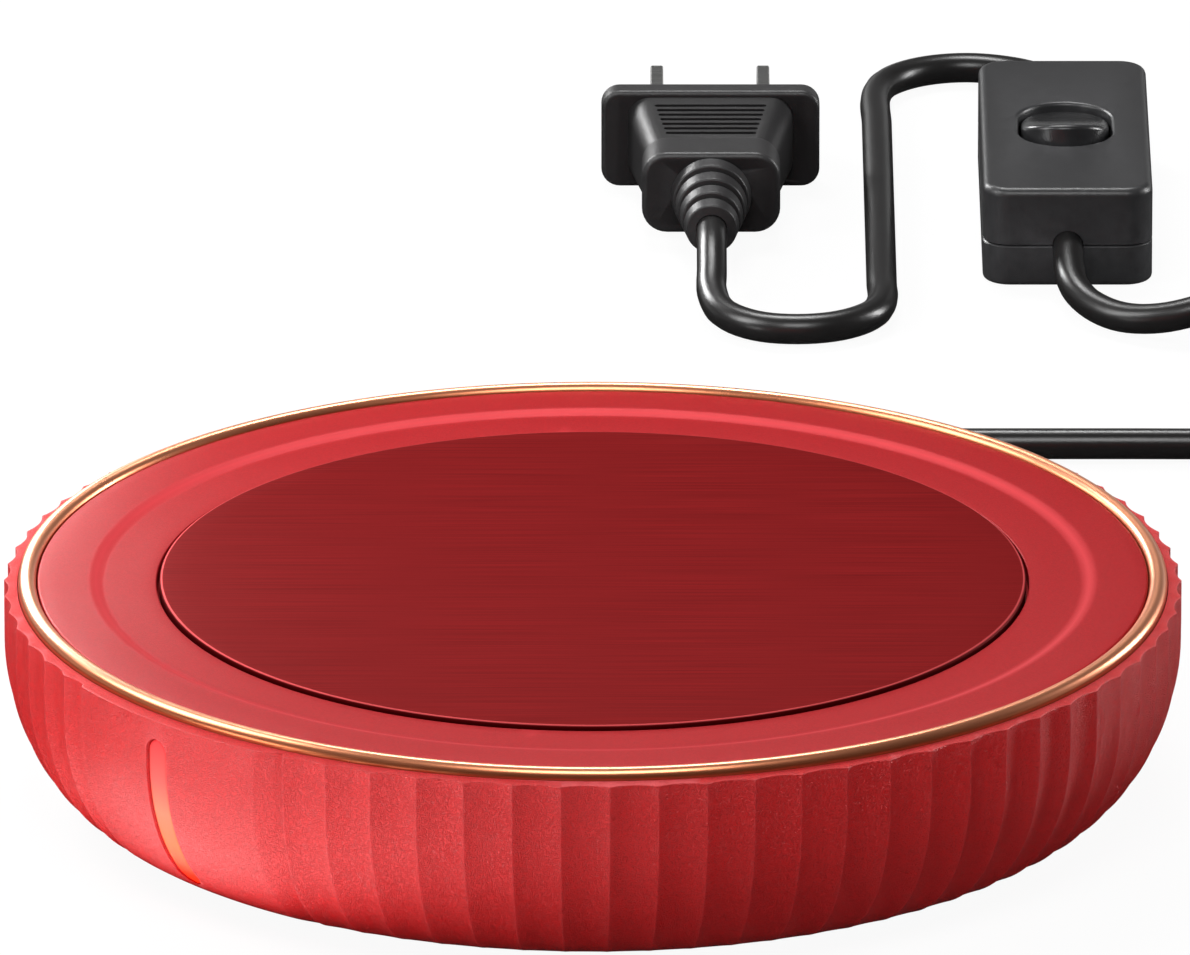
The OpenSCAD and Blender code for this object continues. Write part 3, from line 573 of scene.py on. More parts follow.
@dataclass(frozen=True)
class Finish:
    """What every finish has, and a way to make its material.

    Attributes:
        name: Name of the finish.
        roughness: Main roughness.
        specular: Strength of the surface reflection.
        metallic: Share of metal.
        tone: Tint of the reflection at a low angle.
        patch: How far handling changes the roughness.
        smudge: Patches from handling, per metre.
        matt: Roughness added on top.
        matt_z: Heights in millimetres where that roughness starts and is full, if there is one.
    """

    name: str
    roughness: float
    specular: float = 0.5
    metallic: float = 0.0
    tone: Srgb = (255, 255, 255)
    patch: float = 0.05
    smudge: float = 40.0
    matt: float = 0.0
    matt_z: Point2 | None = None

    def material(self) -> bpy.types.Material:
        """Give the finish's material, made on first use.

        Returns:
            The material.
        """
        name = f"finish_{self.name}"
        found = bpy.data.materials.get(name)
        if found:
            return found
        made = bpy.data.materials.new(name)
        made.use_nodes = True
        graph = Graph(made.node_tree)
        shader = made.node_tree.nodes["Principled BSDF"]
        rough = graph.math("MULTIPLY_ADD", graph.effect(SMUDGE, Scale=self.smudge), self.patch,
                           self.roughness - self.patch / 2.0)
        if self.matt_z:
            low, high = [z * MM for z in self.matt_z]
            added = graph.remap(graph.height(graph.here()), low, high, 0.0, self.matt)
            rough = graph.math("ADD", rough, added)
        graph.feed_all(shader, {"Specular IOR Level": self.specular, "Specular Tint": linear(self.tone),
                                "Metallic": self.metallic, "Roughness": rough})
        self.dress(graph, shader)
        return made

    def dress(self, graph: Graph, shader: bpy.types.Node) -> None:
        """Build the nodes of this kind of finish."""
        raise NotImplementedError

    def bump(self, graph: Graph, shader: bpy.types.Node, height: Socket, depth_mm: float) -> None:
        """Raise the surface by a height of the given depth in millimetres."""
        node = graph.add("ShaderNodeBump")
        graph.feed_all(node, {"Strength": 1.0, "Distance": depth_mm * MM, "Height": height})
        graph.feed(shader.inputs["Normal"], node.outputs["Normal"])


@dataclass(frozen=True, kw_only=True)
class Moulded(Finish):
    """Moulded or painted surface with grain, flecks, paler edges of wear and painted highlight, painted shade
    in the grain's hollows and a painted highlight band.

    Attributes:
        colours: Main colour and colour of the edges, as they look: wear, and on the shell a painted highlight
            along the flutes' edges.
        grain: Cells of the mould grain per metre, and its depth in millimetres.
        hollow: How far painted shade darkens the hollows of the grain.
        flecks: Cells of the paint's flecks, per metre.
        fleck_gain: How far the flecks lighten and darken the colour.
        reach: Bend at which an edge takes its full edge colour.
        ior: How strongly the lacquer bends light.
        band: Colour of a painted highlight band round the axis.
        painted_band_r: Radii in millimetres of that painted highlight band, if there is one.
    """

    colours: tuple[Srgb, Srgb]
    grain: Point2
    hollow: float = 0.0
    flecks: float = 5200.0
    fleck_gain: float = 0.06
    reach: float = 0.12
    ior: float = 1.5
    band: Srgb = (255, 255, 255)
    painted_band_r: Point2 | None = None

    def dress(self, graph: Graph, shader: bpy.types.Node) -> None:
        """Build grain, flecks, the grain's painted hollow shade, edges and the painted highlight band on the
        shader.

        Args:
            graph: The material's graph.
            shader: The material's shader.
        """
        main, worn_and_highlight = self.colours
        cells, depth = self.grain
        grain = graph.effect(GRAIN, Scale=cells)
        dark, light = toned(main, 1.0 - self.fleck_gain), toned(main, 1.0 + self.fleck_gain)
        colour = graph.tint(graph.effect(FLECK, Scale=self.flecks), dark, light)
        # Painted shade darkens the grain's hollows.
        if self.hollow:
            colour = graph.tint(graph.remap(grain, 0.2, 0.6), toned(main, 1.0 - self.hollow), colour)
        # Edge colour: rubbed wear, and on the shell a painted highlight along the flutes' edges.
        colour = graph.tint(graph.effect(WEAR_AND_HIGHLIGHT, Reach=self.reach), colour, linear(worn_and_highlight))
        # Painted highlight: a paler band round the axis, on the deck's step.
        if self.painted_band_r:
            low, high = [r * MM for r in self.painted_band_r]
            middle = (low + high) / 2.0
            far = graph.radius()
            rise, fall = graph.remap(far, low, middle), graph.remap(far, middle, high, 1.0, 0.0)
            colour = graph.tint(graph.math("MULTIPLY", rise, fall), colour, linear(self.band))
        graph.feed_all(shader, {"Base Color": colour, "IOR": self.ior})
        self.bump(graph, shader, grain, depth)


@dataclass(frozen=True, kw_only=True)
class Brushed(Finish):
    """Metal with straight brush marks, and where set a painted highlight on its rim and painted shade on the
    side below.

    Attributes:
        colours: Main colour and colour of the brighter brush marks, as they look.
        marks: Marks per metre across the brushing, and breaks per metre along it.
        line_mm: Depth of the marks.
        rim: Colour of the painted highlight on the rounded rim, if there is one.
        painted_side_shade: Colour of the painted shade on the side under the rim.
        painted_rim_r: Radii in millimetres where the painted highlight begins, is full, gives way to the
            painted shade on the side and ends.
    """

    metallic: float = 1.0
    patch: float = 0.06
    smudge: float = 30.0
    colours: tuple[Srgb, Srgb]
    marks: Point2
    line_mm: float = 0.004
    rim: Srgb | None = None
    painted_side_shade: Srgb = (60, 60, 60)
    painted_rim_r: tuple[float, ...] = (0.0, 0.0, 0.0, 0.0)

    def dress(self, graph: Graph, shader: bpy.types.Node) -> None:
        """Build brush marks, the rim's painted highlight and the side's painted shade on the shader.

        Args:
            graph: The material's graph.
            shader: The material's shader.
        """
        across, along = self.marks
        line = graph.effect(LINES, Across=across, Along=along)
        colour = graph.tint(graph.remap(line, 0.35, 0.65), *map(linear, self.colours))
        # Painted highlight on the rounded rim, then painted shade on the side below it.
        if self.rim:
            far = graph.radius()
            start, full, fade, end = [r * MM for r in self.painted_rim_r]
            colour = graph.tint(graph.remap(far, start, full), colour, linear(self.rim))
            colour = graph.tint(graph.remap(far, fade, end), colour, linear(self.painted_side_shade))
        graph.feed(shader.inputs["Base Color"], colour)
        self.bump(graph, shader, line, self.line_mm)


@dataclass(frozen=True, kw_only=True)
class Banded(Finish):
    """Plated metal whose colour changes with height as painted highlights and painted shade, or lit plastic
    whose glow does.

    Attributes:
        bands: Height in millimetres and colour of each band, lowest first.
        glow: Strength of the light that it gives off.
    """

    patch: float = 0.04
    smudge: float = 60.0
    bands: tuple[tuple[float, Srgb], ...]
    glow: float = 0.0

    def dress(self, graph: Graph, shader: bpy.types.Node) -> None:
        """Build the bands on the shader's colour, and on its light where it glows.

        Args:
            graph: The material's graph.
            shader: The material's shader.
        """
        low, high = self.bands[0][0], self.bands[-1][0]
        ramp = graph.add("ShaderNodeValToRGB")
        stops = ramp.color_ramp.elements
        for _ in self.bands[2:]:
            stops.new(0.5)
        for stop, (height, _) in zip(stops, self.bands):
            stop.position = (height - low) / (high - low)
        for stop, (_, colour) in zip(stops, self.bands):
            stop.color = linear(colour)
        graph.feed(ramp.inputs[0], graph.remap(graph.height(graph.here()), low * MM, high * MM))
        graph.feed(shader.inputs["Base Color"], ramp.outputs["Color"])
        if self.glow > 0.0:
            graph.feed_all(shader, {"Emission Color": ramp.outputs["Color"], "Emission Strength": self.glow})


class Finishes:
    """The finishes of this object, by what they are on."""

    # Painted shade darkens the hollows of the shell's grain. Its edge colour is partly wear and partly a
    # painted highlight on the flutes' edges.
    SHELL = Moulded("shell_red", 0.33, colours=((200, 8, 13), (214, 78, 82)), grain=(2800.0, 0.085),
                    hollow=0.3, fleck_gain=0.05, reach=0.16, tone=(255, 158, 158), ior=2.25, matt=0.5,
                    matt_z=(23.95, 24.05))
    # The deck's band colour is a painted highlight on its step.
    DECK = Moulded("deck_red", 0.42, 0.10, 0.15, colours=((148, 16, 22), (168, 34, 40)),
                   grain=(3800.0, 0.006), flecks=7000.0, fleck_gain=0.16, tone=(255, 150, 150),
                   band=(184, 48, 54), painted_band_r=(54.3, 56.6))
    # The plate's rim colour is a painted highlight, and its side colour is painted shade in the gap.
    PLATE = Brushed("plate_red", 0.5, 0.02, colours=((90, 8, 10), (112, 20, 22)), marks=(5200.0, 45.0),
                    metallic=0.3, tone=(255, 150, 150), rim=(190, 76, 78), painted_side_shade=(70, 4, 6),
                    painted_rim_r=(48.02, 48.12, 48.2, 48.3))
    # Painted reflections on the trim ring: a light crest and foot as painted highlight, and a darker flank as
    # painted shade.
    GOLD = Banded("trim_gold", 0.29, metallic=0.82, bands=(
        (24.0, (214, 124, 84)), (24.6, (196, 106, 66)), (25.4, (236, 156, 116))))
    GLOW = Banded("light_guide", 0.37, 0.1, glow=0.3, bands=(
        (4.9, (255, 40, 12)), (9.0, (248, 92, 52)), (13.0, (240, 104, 78)), (17.0, (226, 76, 70)),
        (21.9, (206, 50, 54))))
    LAMP = Banded("lamp", 0.22, glow=1.5, bands=((9.0, (255, 70, 34)), (15.0, (255, 120, 80))))
    CORD = Moulded("cord_black", 0.30, colours=((20, 19, 19), (34, 33, 33)), grain=(2600.0, 0.004))
    SWITCH = Moulded("switch_black", 0.36, colours=((30, 30, 31), (66, 66, 68)), grain=(2600.0, 0.008))
    ROCKER = Moulded("rocker_black", 0.28, colours=((24, 24, 25), (60, 60, 62)), grain=(3600.0, 0.003))
    PLUG = Moulded("plug_black", 0.42, colours=((26, 25, 26), (58, 57, 58)), grain=(1900.0, 0.012))
    BASE = Moulded("base_maroon", 0.5, 0.4, colours=((104, 20, 24), (140, 52, 54)), grain=(1500.0, 0.020))
    FOOT = Moulded("foot_rubber", 0.72, 0.3, colours=((28, 27, 27), (52, 51, 51)), grain=(2200.0, 0.020))
    TIE = Moulded("tie_grey", 0.66, 0.3, colours=((74, 76, 78), (98, 100, 102)), grain=(2600.0, 0.05))
    GASKET = Moulded("gasket", 0.8, 0.3, colours=((214, 210, 202), (226, 222, 216)), grain=(1800.0, 0.03))
    ELEMENT = Moulded("element", 0.5, 0.4, colours=((150, 104, 66), (182, 140, 96)), grain=(900.0, 0.02))
    PAD = Moulded("pad", 0.92, 0.2, colours=((226, 220, 204), (236, 232, 220)), grain=(700.0, 0.06))
    FUSE = Moulded("fuse", 0.35, colours=((226, 226, 222), (238, 238, 236)), grain=(1600.0, 0.004))
    WHITE = Moulded("wire_white", 0.5, 0.4, colours=((222, 220, 214), (234, 232, 228)), grain=(2400.0, 0.01))
    GREY = Moulded("wire_grey", 0.5, 0.4, colours=((96, 97, 99), (122, 123, 125)), grain=(2400.0, 0.01))
    CAP = Moulded("cap_nylon", 0.4, colours=((232, 230, 222), (242, 240, 234)), grain=(2000.0, 0.006))
    BOARD = Moulded("board", 0.45, colours=((24, 92, 54), (70, 130, 96)), grain=(3000.0, 0.004))
    BLADE = Brushed("blade_metal", 0.24, colours=((196, 196, 194), (226, 226, 224)), marks=(3800.0, 90.0),
                    line_mm=0.002)
    STEEL = Brushed("steel", 0.30, colours=((168, 170, 172), (202, 203, 204)), marks=(3000.0, 300.0))
    BRASS = Brushed("contact_brass", 0.30, colours=((190, 150, 78), (222, 186, 112)), marks=(3000.0, 200.0))


def wear(piece: Piece, finish: Finish) -> None:
    """Give a piece its one finish."""
    piece.data.materials.clear()
    piece.data.materials.append(finish.material())


def settle(piece: Piece, finish: Finish, *nodes: str, body: Body = Body.WARMER) -> Piece:
    """Give a piece its finish and its body, and hide the nodes that it stands for.

    Args:
        piece: The new piece.
        finish: Its finish.
        *nodes: CAD nodes that it replaces.
        body: The body that it rides on.

    Returns:
        The piece.
    """
    wear(piece, finish)
    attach(piece, body.value)
    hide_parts(*nodes)
    LOG.info("%s on %s stands for %s", piece.name, body.value, ", ".join(nodes))
    return piece


@dataclass
class SoftBox:
    """A soft lamp, placed in the lead's axes and aimed at the object.

    Attributes:
        place: Right, back and up from the object's foot.
        size: Width and height of the lamp.
        lies: Whether it lies on the floor like a bright card, facing up.
    """

    name: str
    place: Point3
    size: Point2
    watts: float
    lies: bool = False

    def build(self, aim: Vector) -> None:
        """Make the lamp and turn it to the aim point, in metres.

        Args:
            aim: The point that a lamp which does not lie is turned to.
        """
        lamp = bpy.data.lights.new(self.name, "AREA")
        lamp.shape = "RECTANGLE"
        lamp.size, lamp.size_y = self.size[0] * MM, self.size[1] * MM
        lamp.energy = self.watts
        holder = link(self.name, lamp)
        holder.location = Vector(lead_point(self.place)) * MM
        way = Vector((0.0, 0.0, 1.0)) if self.lies else aim - holder.location
        holder.rotation_euler = way.to_track_quat("-Z", "Y").to_euler()
        holder.visible_camera = False


@dataclass
class Studio:
    """Camera at the photograph's view, soft lamps, pale floor and white surroundings.

    Attributes:
        distance: From the camera to the point it looks at.
        sight: How far the camera sees, in metres.
        aim_right: How far the view's centre is right of the object's foot.
        aim_up: How far the view's centre is above the object's foot, across the view.
        lit_z: Height that the lamps are aimed at.
        ambient: Light from all round.
        ceiling: Brightness of the room overhead where it is reflected.
        ceiling_rise: Upward share of a direction where the white ends and where the ceiling begins.
        dark_side: Brightness of the room behind the camera where it is reflected.
        dark_rise_deg: Height of that dark side's middle.
        dark_reach: Closeness to that middle where the light ends and where the dark begins.
        floor_white: Share of the floor's own white, the rest keeps the shadow.
        floor_mirrored: Brightness of the floor where it is reflected.
        floor_grey: Colour of the floor, as a linear share of white.
        floor_drop: How far the floor lies below the feet.
    """

    elevation_deg: float = 19.69
    distance: float = 3000.0
    lens: float = 810.3
    sensor: float = 36.0
    sight: float = 50.0
    aim_right: float = 0.25
    aim_up: float = 34.36
    lit_z: float = 15.0
    ambient: float = 0.06
    ceiling: float = 0.08
    ceiling_rise: Point2 = (0.02, 0.2)
    dark_side: float = 0.02
    dark_rise_deg: float = 10.0
    dark_reach: Point2 = (-0.3, 0.3)
    floor_white: float = 0.94
    floor_mirrored: float = 0.03
    floor_grey: float = 0.82
    floor_side: float = 6000.0
    floor_drop: float = 0.03
    lamps: tuple[SoftBox, ...] = (
        SoftBox("key_left", (-335.0, -160.0, 40.0), (120.0, 60.0), 0.2),
        SoftBox("card_left", (-76.0, -89.0, 1.0), (96.0, 110.0), 0.066, True),
        SoftBox("glow_left", (-84.0, 112.0, 64.0), (60.0, 30.0), 0.06),
        SoftBox("front_top", (10.0, -260.0, 440.0), (250.0, 200.0), 1.5),
        SoftBox("strip_right", (380.0, 270.0, 120.0), (60.0, 160.0), 0.9),
        SoftBox("top_left", (-230.0, 50.0, 240.0), (160.0, 160.0), 0.8),
        SoftBox("back_high", (0.0, 380.0, 430.0), (200.0, 120.0), 1.5),
        SoftBox("back_left", (-300.0, 560.0, 230.0), (160.0, 150.0), 2.0),
    )

    def camera(self) -> None:
        """Make the camera."""
        rise = math.radians(self.elevation_deg)
        right = Vector(lead_point((1.0, 0.0, 0.0)))
        away = Vector(lead_point((0.0, 1.0, 0.0)))
        top = Vector((0.0, 0.0, 1.0))
        up = away * math.sin(rise) + top * math.cos(rise)
        look = away * math.cos(rise) - top * math.sin(rise)
        lens = bpy.data.cameras.new("photo_view")
        lens.sensor_fit = "HORIZONTAL"
        lens.sensor_width = self.sensor
        lens.lens = self.lens
        lens.clip_end = self.sight
        holder = link("photo_view", lens)
        holder.location = (right * self.aim_right + up * self.aim_up - look * self.distance) * MM
        holder.rotation_euler = look.to_track_quat("-Z", "Y").to_euler()
        bpy.context.scene.camera = holder

    def light(self) -> None:
        """Make the lamps, the floor and the world."""
        bpy.context.scene.view_settings.view_transform = "Standard"
        for lamp in self.lamps:
            lamp.build(Vector((0.0, 0.0, self.lit_z)) * MM)
        self._world()
        self._floor()

    def _world(self) -> None:
        """Make the surroundings: white where looked at, dark behind the camera, softer as light."""
        world = bpy.data.worlds.new("studio")
        world.use_nodes = True
        world.cycles.sampling_method = "NONE"
        bpy.context.scene.world = world
        graph = Graph(world.node_tree)
        way = graph.add("ShaderNodeTexCoord").outputs["Generated"]
        lift = graph.remap(graph.height(way), *self.ceiling_rise, 1.0, self.ceiling)
        rise = math.radians(self.dark_rise_deg)
        near = graph.vector("DOT_PRODUCT", way, lead_point((0.0, -math.cos(rise), math.sin(rise))))
        room = graph.mix(graph.remap(near, *self.dark_reach), lift, self.dark_side)
        looked_at, bounced = graph.ray_kinds()
        level = graph.mix(bounced, self.ambient, room)
        graph.feed_all(world.node_tree.nodes["Background"],
                       {"Color": (1.0, 1.0, 1.0, 1.0), "Strength": graph.mix(looked_at, level, 1.0)})

    def _floor(self) -> None:
        """Make the pale floor, which keeps the object's shadow."""
        half = self.floor_side / 2.0
        draft = MeshDraft()
        corners = [(-half, -half), (half, -half), (half, half), (-half, half)]
        draft.faces.append(tuple(draft.ring([(x, y, -self.floor_drop) for x, y in corners])))
        floor = draft.to_object("floor")
        paint = bpy.data.materials.new("floor_white")
        paint.use_nodes = True
        graph = Graph(paint.node_tree)
        shader = paint.node_tree.nodes["Principled BSDF"]
        graph.feed_all(shader, {"Base Color": (*[self.floor_grey] * 3, 1.0), "Roughness": 0.9,
                                "Specular IOR Level": 0.0})
        white = graph.add("ShaderNodeEmission")
        looked_at, bounced = graph.ray_kinds()
        graph.feed(white.inputs["Strength"], graph.mix(looked_at, self.floor_mirrored, 1.0))
        mix = graph.add("ShaderNodeMixShader")
        graph.feed_all(mix, {"Fac": graph.mix(looked_at, bounced, self.floor_white),
                             1: shader.outputs["BSDF"], 2: white.outputs["Emission"]})
        graph.feed(paint.node_tree.nodes["Material Output"].inputs["Surface"], mix.outputs["Shader"])
        floor.data.materials.append(paint)


@dataclass
class Lead:
    """Two lengths of black lead: from the body through its coil to the switch, and on to the plug.

    Attributes:
        exit_route: Way from the gland to the coil, in the lead's axes.
        coil_out_r: Radius of the coil's first turn.
        coil_turns: Turns in each layer.
        coil_climb: Turns in which the lead changes layers, halved.
        coil_pitch: Distance between turns and between layers.
        coil_z: Height of the first layer.
        coil_rings: Points in each turn.
        return_route: Way from the coil to the switch.
        plug_route: Way from the switch to the plug.
        body_exit: Where the lead leaves the body.
        switch_exit: Where the lead leaves the switch.
        step: Distance between the points of the finished curve.
    """

    diameter: float = 3.6
    exit_route: tuple[Point3, ...] = (
        (0, 60, 11), (0, 70, 11), (0, 80, 11), (0, 88, 11), (0, 90, 10.95), (0, 93, 10.5), (1.2, 98, 9.2),
        (4.7, 103.3, 7.2), (9.9, 106.8, 5.3), (16, 108, 3.7), (23, 108, 2.5), (32, 108, 2), (42, 108, 2),
        (52, 108, 2), (62, 108, 2), (72, 108, 2), (80, 108, 2.2), (88, 108, 2.5), (94, 108, 2.5))
    coil_centre: Point2 = (105.0, 137.0)
    coil_out_r: float = 29.0
    coil_turns: float = 4.06
    coil_climb: float = 0.25
    coil_pitch: float = 4.2
    coil_z: float = 2.5
    coil_rings: int = 24
    coil_start_deg: float = -90.0
    return_route: tuple[Point3, ...] = (
        (76.2, 150.7, 5.6), (71.4, 149.5, 4), (66.5, 149.9, 2.7), (62.1, 152, 2.1), (58.6, 155.5, 2.4),
        (56.6, 159.4, 3.3), (56, 163.6, 4.3), (56, 166.5, 4.85), (56, 169, 5), (56, 175, 5))
    plug_route: tuple[Point3, ...] = (
        (56, 211, 5), (56, 217, 5), (56, 220, 4.85), (56, 225, 4.1), (56, 229, 3.2), (56, 232, 2.7),
        (54.5, 237.5, 2.2), (50.5, 241.5, 2), (45, 243, 2), (39.5, 241.5, 2), (35.5, 237.5, 2), (34, 232, 2),
        (34, 222, 2), (34, 212, 2), (34, 202, 2), (34, 192, 2), (34, 182, 2), (34, 172, 2), (34, 164, 2),
        (34, 158, 2), (32.7, 153, 2), (29, 149.3, 2), (24, 148, 2), (19, 149.3, 2), (15.3, 153, 2.3),
        (14, 158, 3.1), (14, 162, 4.2), (14, 167, 5.7), (14, 170, 6), (14, 172, 6))
    body_exit: Point3 = (0.0, 66.0, 11.0)
    switch_exit: Point3 = (56.0, 217.0, 5.0)
    step: float = 1.1

    def build(self) -> None:
        """Make both lengths of lead as curves."""
        body_way = [*self.exit_route, *self._coil(), *self.return_route]
        self.body_cord, self.body_length = self._cord("lead_body_to_switch", body_way)
        self.plug_cord, self.plug_length = self._cord("lead_switch_to_plug", self.plug_route)
        settle(self.body_cord, Finishes.CORD, "cord_exit", "cord_coil", "cord_return")
        settle(self.plug_cord, Finishes.CORD, "cord_plug_lead")

    def declare(self) -> None:
        """Work out where the lead leaves the body and the switch, in metres, and keep neither.
        """
        self._metres(self.body_exit)
        self._metres(self.switch_exit)

    def _metres(self, place: Point3) -> Point3:
        """Give a point of the lead's axes in the object's frame, in metres."""
        return tuple(c * MM for c in lead_point(place))

    @property
    def coil_in_r(self) -> float:
        """Radius of the coil's innermost turn."""
        return self.coil_out_r - self.coil_pitch * (self.coil_turns + self.coil_climb)

    def _coil(self) -> list[Point3]:
        """List the coil's points, in on the lower layer and out on the upper one.

        Returns:
            The points in the lead's axes, with one before the coil and two after it.
        """
        middle = self.coil_turns + self.coil_climb
        way: list[Point3] = []
        for a in spread(0.0, 2.0 * middle, round(2.0 * middle * self.coil_rings)):
            x, y = polar(self.coil_in_r + self.coil_pitch * abs(a - middle),
                         math.radians(self.coil_start_deg + 360.0 * a))
            z = self.coil_z + self.coil_pitch * min(1.0, max(0.0, 2.0 * (a - self.coil_turns)))
            way.append((self.coil_centre[0] + x, self.coil_centre[1] + y, z))
        last = math.radians(self.coil_start_deg + 720.0 * middle)
        x, y, z = way[-1]
        ahead = (-self.diameter * math.sin(last), self.diameter * math.cos(last))
        out = [(x + k * ahead[0], y + k * ahead[1], z) for k in (1, 2)]
        return [(way[0][0] - self.diameter, way[0][1], self.coil_z), *way, *out]

    def _cord(self, name: str, way: Sequence[Point3]) -> tuple[Piece, float]:
        """Make a round curve through a way's points.

        Args:
            name: Name of the piece.
            way: Points in the lead's axes.

        Returns:
            The curve's object and its length in metres.
        """
        line = [Vector(self._metres(p)) for p in self._smooth(way)]
        curve = bpy.data.curves.new(name, "CURVE")
        curve.dimensions = "3D"
        curve.bevel_depth = self.diameter / 2.0 * MM
        curve.bevel_resolution = 6
        curve.use_fill_caps = True
        spline = curve.splines.new("POLY")
        spline.points.add(len(line) - 1)
        for point, place in zip(spline.points, line):
            point.co = (*place, 1.0)
        spline.use_smooth = True
        return link(name, curve), sum((b - a).length for a, b in zip(line, line[1:]))

    def _smooth(self, way: Sequence[Point3]) -> list[Point3]:
        """Draw one smooth line through a way's points.

        Args:
            way: Points in the lead's axes.

        Returns:
            The line's points, at most about a step apart.
        """
        points = [Vector(p) for p in way]
        ends = [2.0 * points[0] - points[1], *points, 2.0 * points[-1] - points[-2]]
        line: list[Point3] = []
        for a, b, c, d in zip(ends, ends[1:], ends[2:], ends[3:]):
            run = (c - b).length
            out_way = (c - a).normalized() * run
            in_way = (d - b).normalized() * run
            for t in spread(0.0, 1.0, max(1, math.ceil(run / self.step)))[:-1]:
                line.append(tuple(b * (2 * t**3 - 3 * t**2 + 1) + out_way * (t**3 - 2 * t**2 + t)
                                  + c * (-2 * t**3 + 3 * t**2) + in_way * (t**3 - t**2)))
        return [*line, tuple(points[-1])]


@dataclass
class FlutedShell:
    """The side wall: a curved bowl with scalloped flutes, a smooth panel and a slot for the light.

    Attributes:
        base_r: Radius of the lower edge.
        edge_in: How far the lower edge is rounded in.
        curve_h: Height over which the wall curves outwards.
        curve_deg: Angles on the curve where the wall begins and ends.
        upright_z: Height of the first row above the curve.
        lip: Radius and height of the shoulder's upper edge.
        lip_round: Rounding and width of that edge.
        seats: Radii and heights of the seats inside, from the top down.
        inner_deg: Angles on the curve where the inside follows it.
        foot: Radii and heights of the base plate's rebate.
        panel_lap: Angle by which the panel covers the flutes beside it.
        panel_draft: Angle of the small step at the panel's edges.
        softness: Rounding of the edge between flutes, as a share of their width.
        fade_deg: Angle on the curve where a flute starts, and how long it takes to reach its depth.
        flute_end: Height above the shoulder's foot in which the flutes run out.
        crease: Radius of the edge between wall and shoulder.
        first_slope: Places on the first flute where its slope starts and ends.
        first_deep: Depth of the first flute as a multiple of the others.
        stations: Places of the points across a flute.
        past: How far a cutter reaches past the wall.
    """

    body_r: float = 65.8
    base_r: float = 53.1
    edge_z: float = 0.6
    edge_in: float = 0.25
    curve_h: float = 18.5
    curve_deg: Point2 = (1.5, 90.0)
    curve_steps: int = 26
    upright_z: float = 20.2
    shoulder_z: float = 24.0
    lip: Point2 = (64.5, 24.2)
    lip_round: Point2 = (0.06, 0.1)
    wall: float = 2.4
    seats: tuple[Point2, ...] = (
        (64.3, 24.2), (64.3, 23.4), (62.15, 23.4), (62.15, 22.8), (59.95, 22.8), (59.95, 20.8))
    inner_deg: Point2 = (90.0, 36.0)
    inner_steps: int = 5
    foot: tuple[Point2, ...] = ((49.9, 5.0), (49.9, 3.5), (51.3, 3.5), (51.3, 0.75), (51.45, 0.6))
    flutes: int = 72
    depth: float = 0.55
    panel_deg: float = 24.6
    panel_lap: float = 1.2
    panel_draft: float = 0.2
    panel_steps: int = 64
    softness: float = 0.014
    fade_deg: Point2 = (8.0, 30.0)
    flute_end: float = 0.15
    crease: float = 0.12
    first_slope: Point2 = (0.28, 0.92)
    first_deep: float = 1.7
    stations: tuple[float, ...] = (
        0.0, 0.012, 0.03, 0.07, 0.14, 0.24, 0.36, 0.5, 0.64, 0.76, 0.86, 0.93, 0.97, 0.988)
    slot_w: float = 3.3
    slot_z: Point2 = (3.4, 21.9)
    gland_d: float = 8.2
    gland_z: float = 11.0
    past: float = 3.0

    def outline(self, t_deg: float) -> tuple[Vector, Vector]:
        """Give the wall's point and its outward way at an angle on the curve.

        Args:
            t_deg: The angle.

        Returns:
            Radius and height of the point, and the way.
        """
        t = math.radians(t_deg)
        bulge = self.body_r - self.base_r
        way = Vector((math.sin(t) / bulge, -math.cos(t) / self.curve_h)).normalized()
        point = Vector((self.base_r + bulge * math.sin(t), self.edge_z + self.curve_h * (1.0 - math.cos(t))))
        return point, way

    def radius_at(self, z: float) -> float:
        """Give the smooth wall's radius at a height."""
        c = 1.0 - min(1.0, (z - self.edge_z) / self.curve_h)
        return self.base_r + (self.body_r - self.base_r) * math.sqrt(1.0 - c * c)

    def build(self) -> None:
        """Make the shell and cut the light's slot and the gland's hole."""
        angles = self._angles()
        shell = solid("fluted_shell", [self._row(*level, angles) for level in self._levels()], around=True)
        low, high = self.slot_z
        slot = lengthwise(stadium(self.slot_w, high - low, 24), -self.body_r - self.past, -self.base_r,
                          (low + high) / 2.0)
        combine(shell, solid("slot_cutter", slot), Join.CUT)
        hole = lengthwise(circle(self.gland_d, 48), self.base_r, self.body_r + self.past, self.gland_z)
        combine(shell, solid("gland_cutter", hole, lead_point), Join.CUT)
        settle(shell, Finishes.SHELL, "body_shell")

    def _angles(self) -> list[Point2]:
        """List the angles round the wall, each with its share of the flute's depth.

        Returns:
            Pairs of angle in degrees and share, round the flutes and then across the panel.
        """
        half = self.panel_deg / 2.0
        pitch = (360.0 - self.panel_deg + 2.0 * self.panel_lap) / self.flutes
        start = -90.0 + half - self.panel_lap
        first, last = -90.0 + half + self.panel_draft, 270.0 - half - self.panel_draft
        clear = 0.05
        places = [start + pitch * (i + x) for i in range(self.flutes) for x in self.stations]
        places = [first, *(a for a in places if first + clear < a < last - clear), last]
        panel = spread(270.0 - half, 270.0 + half, self.panel_steps)
        return [(a, self._scallop((a - start) / pitch)) for a in places] + [(a, 0.0) for a in panel]

    def _scallop(self, place: float) -> float:
        """Give the share of the depth at a place; the first flute slopes down from the panel.

        Args:
            place: The place, counted in flutes.

        Returns:
            The share.
        """
        x = place % 1.0
        if place < 1.0:
            low, high = self.first_slope
            return self.first_deep * min((x - low) / (high - low), (1.0 - x) / (1.0 - high))
        near = math.hypot(min(x, 1.0 - x), self.softness) - self.softness
        return 1.0 - (2.0 * near - 1.0) ** 2

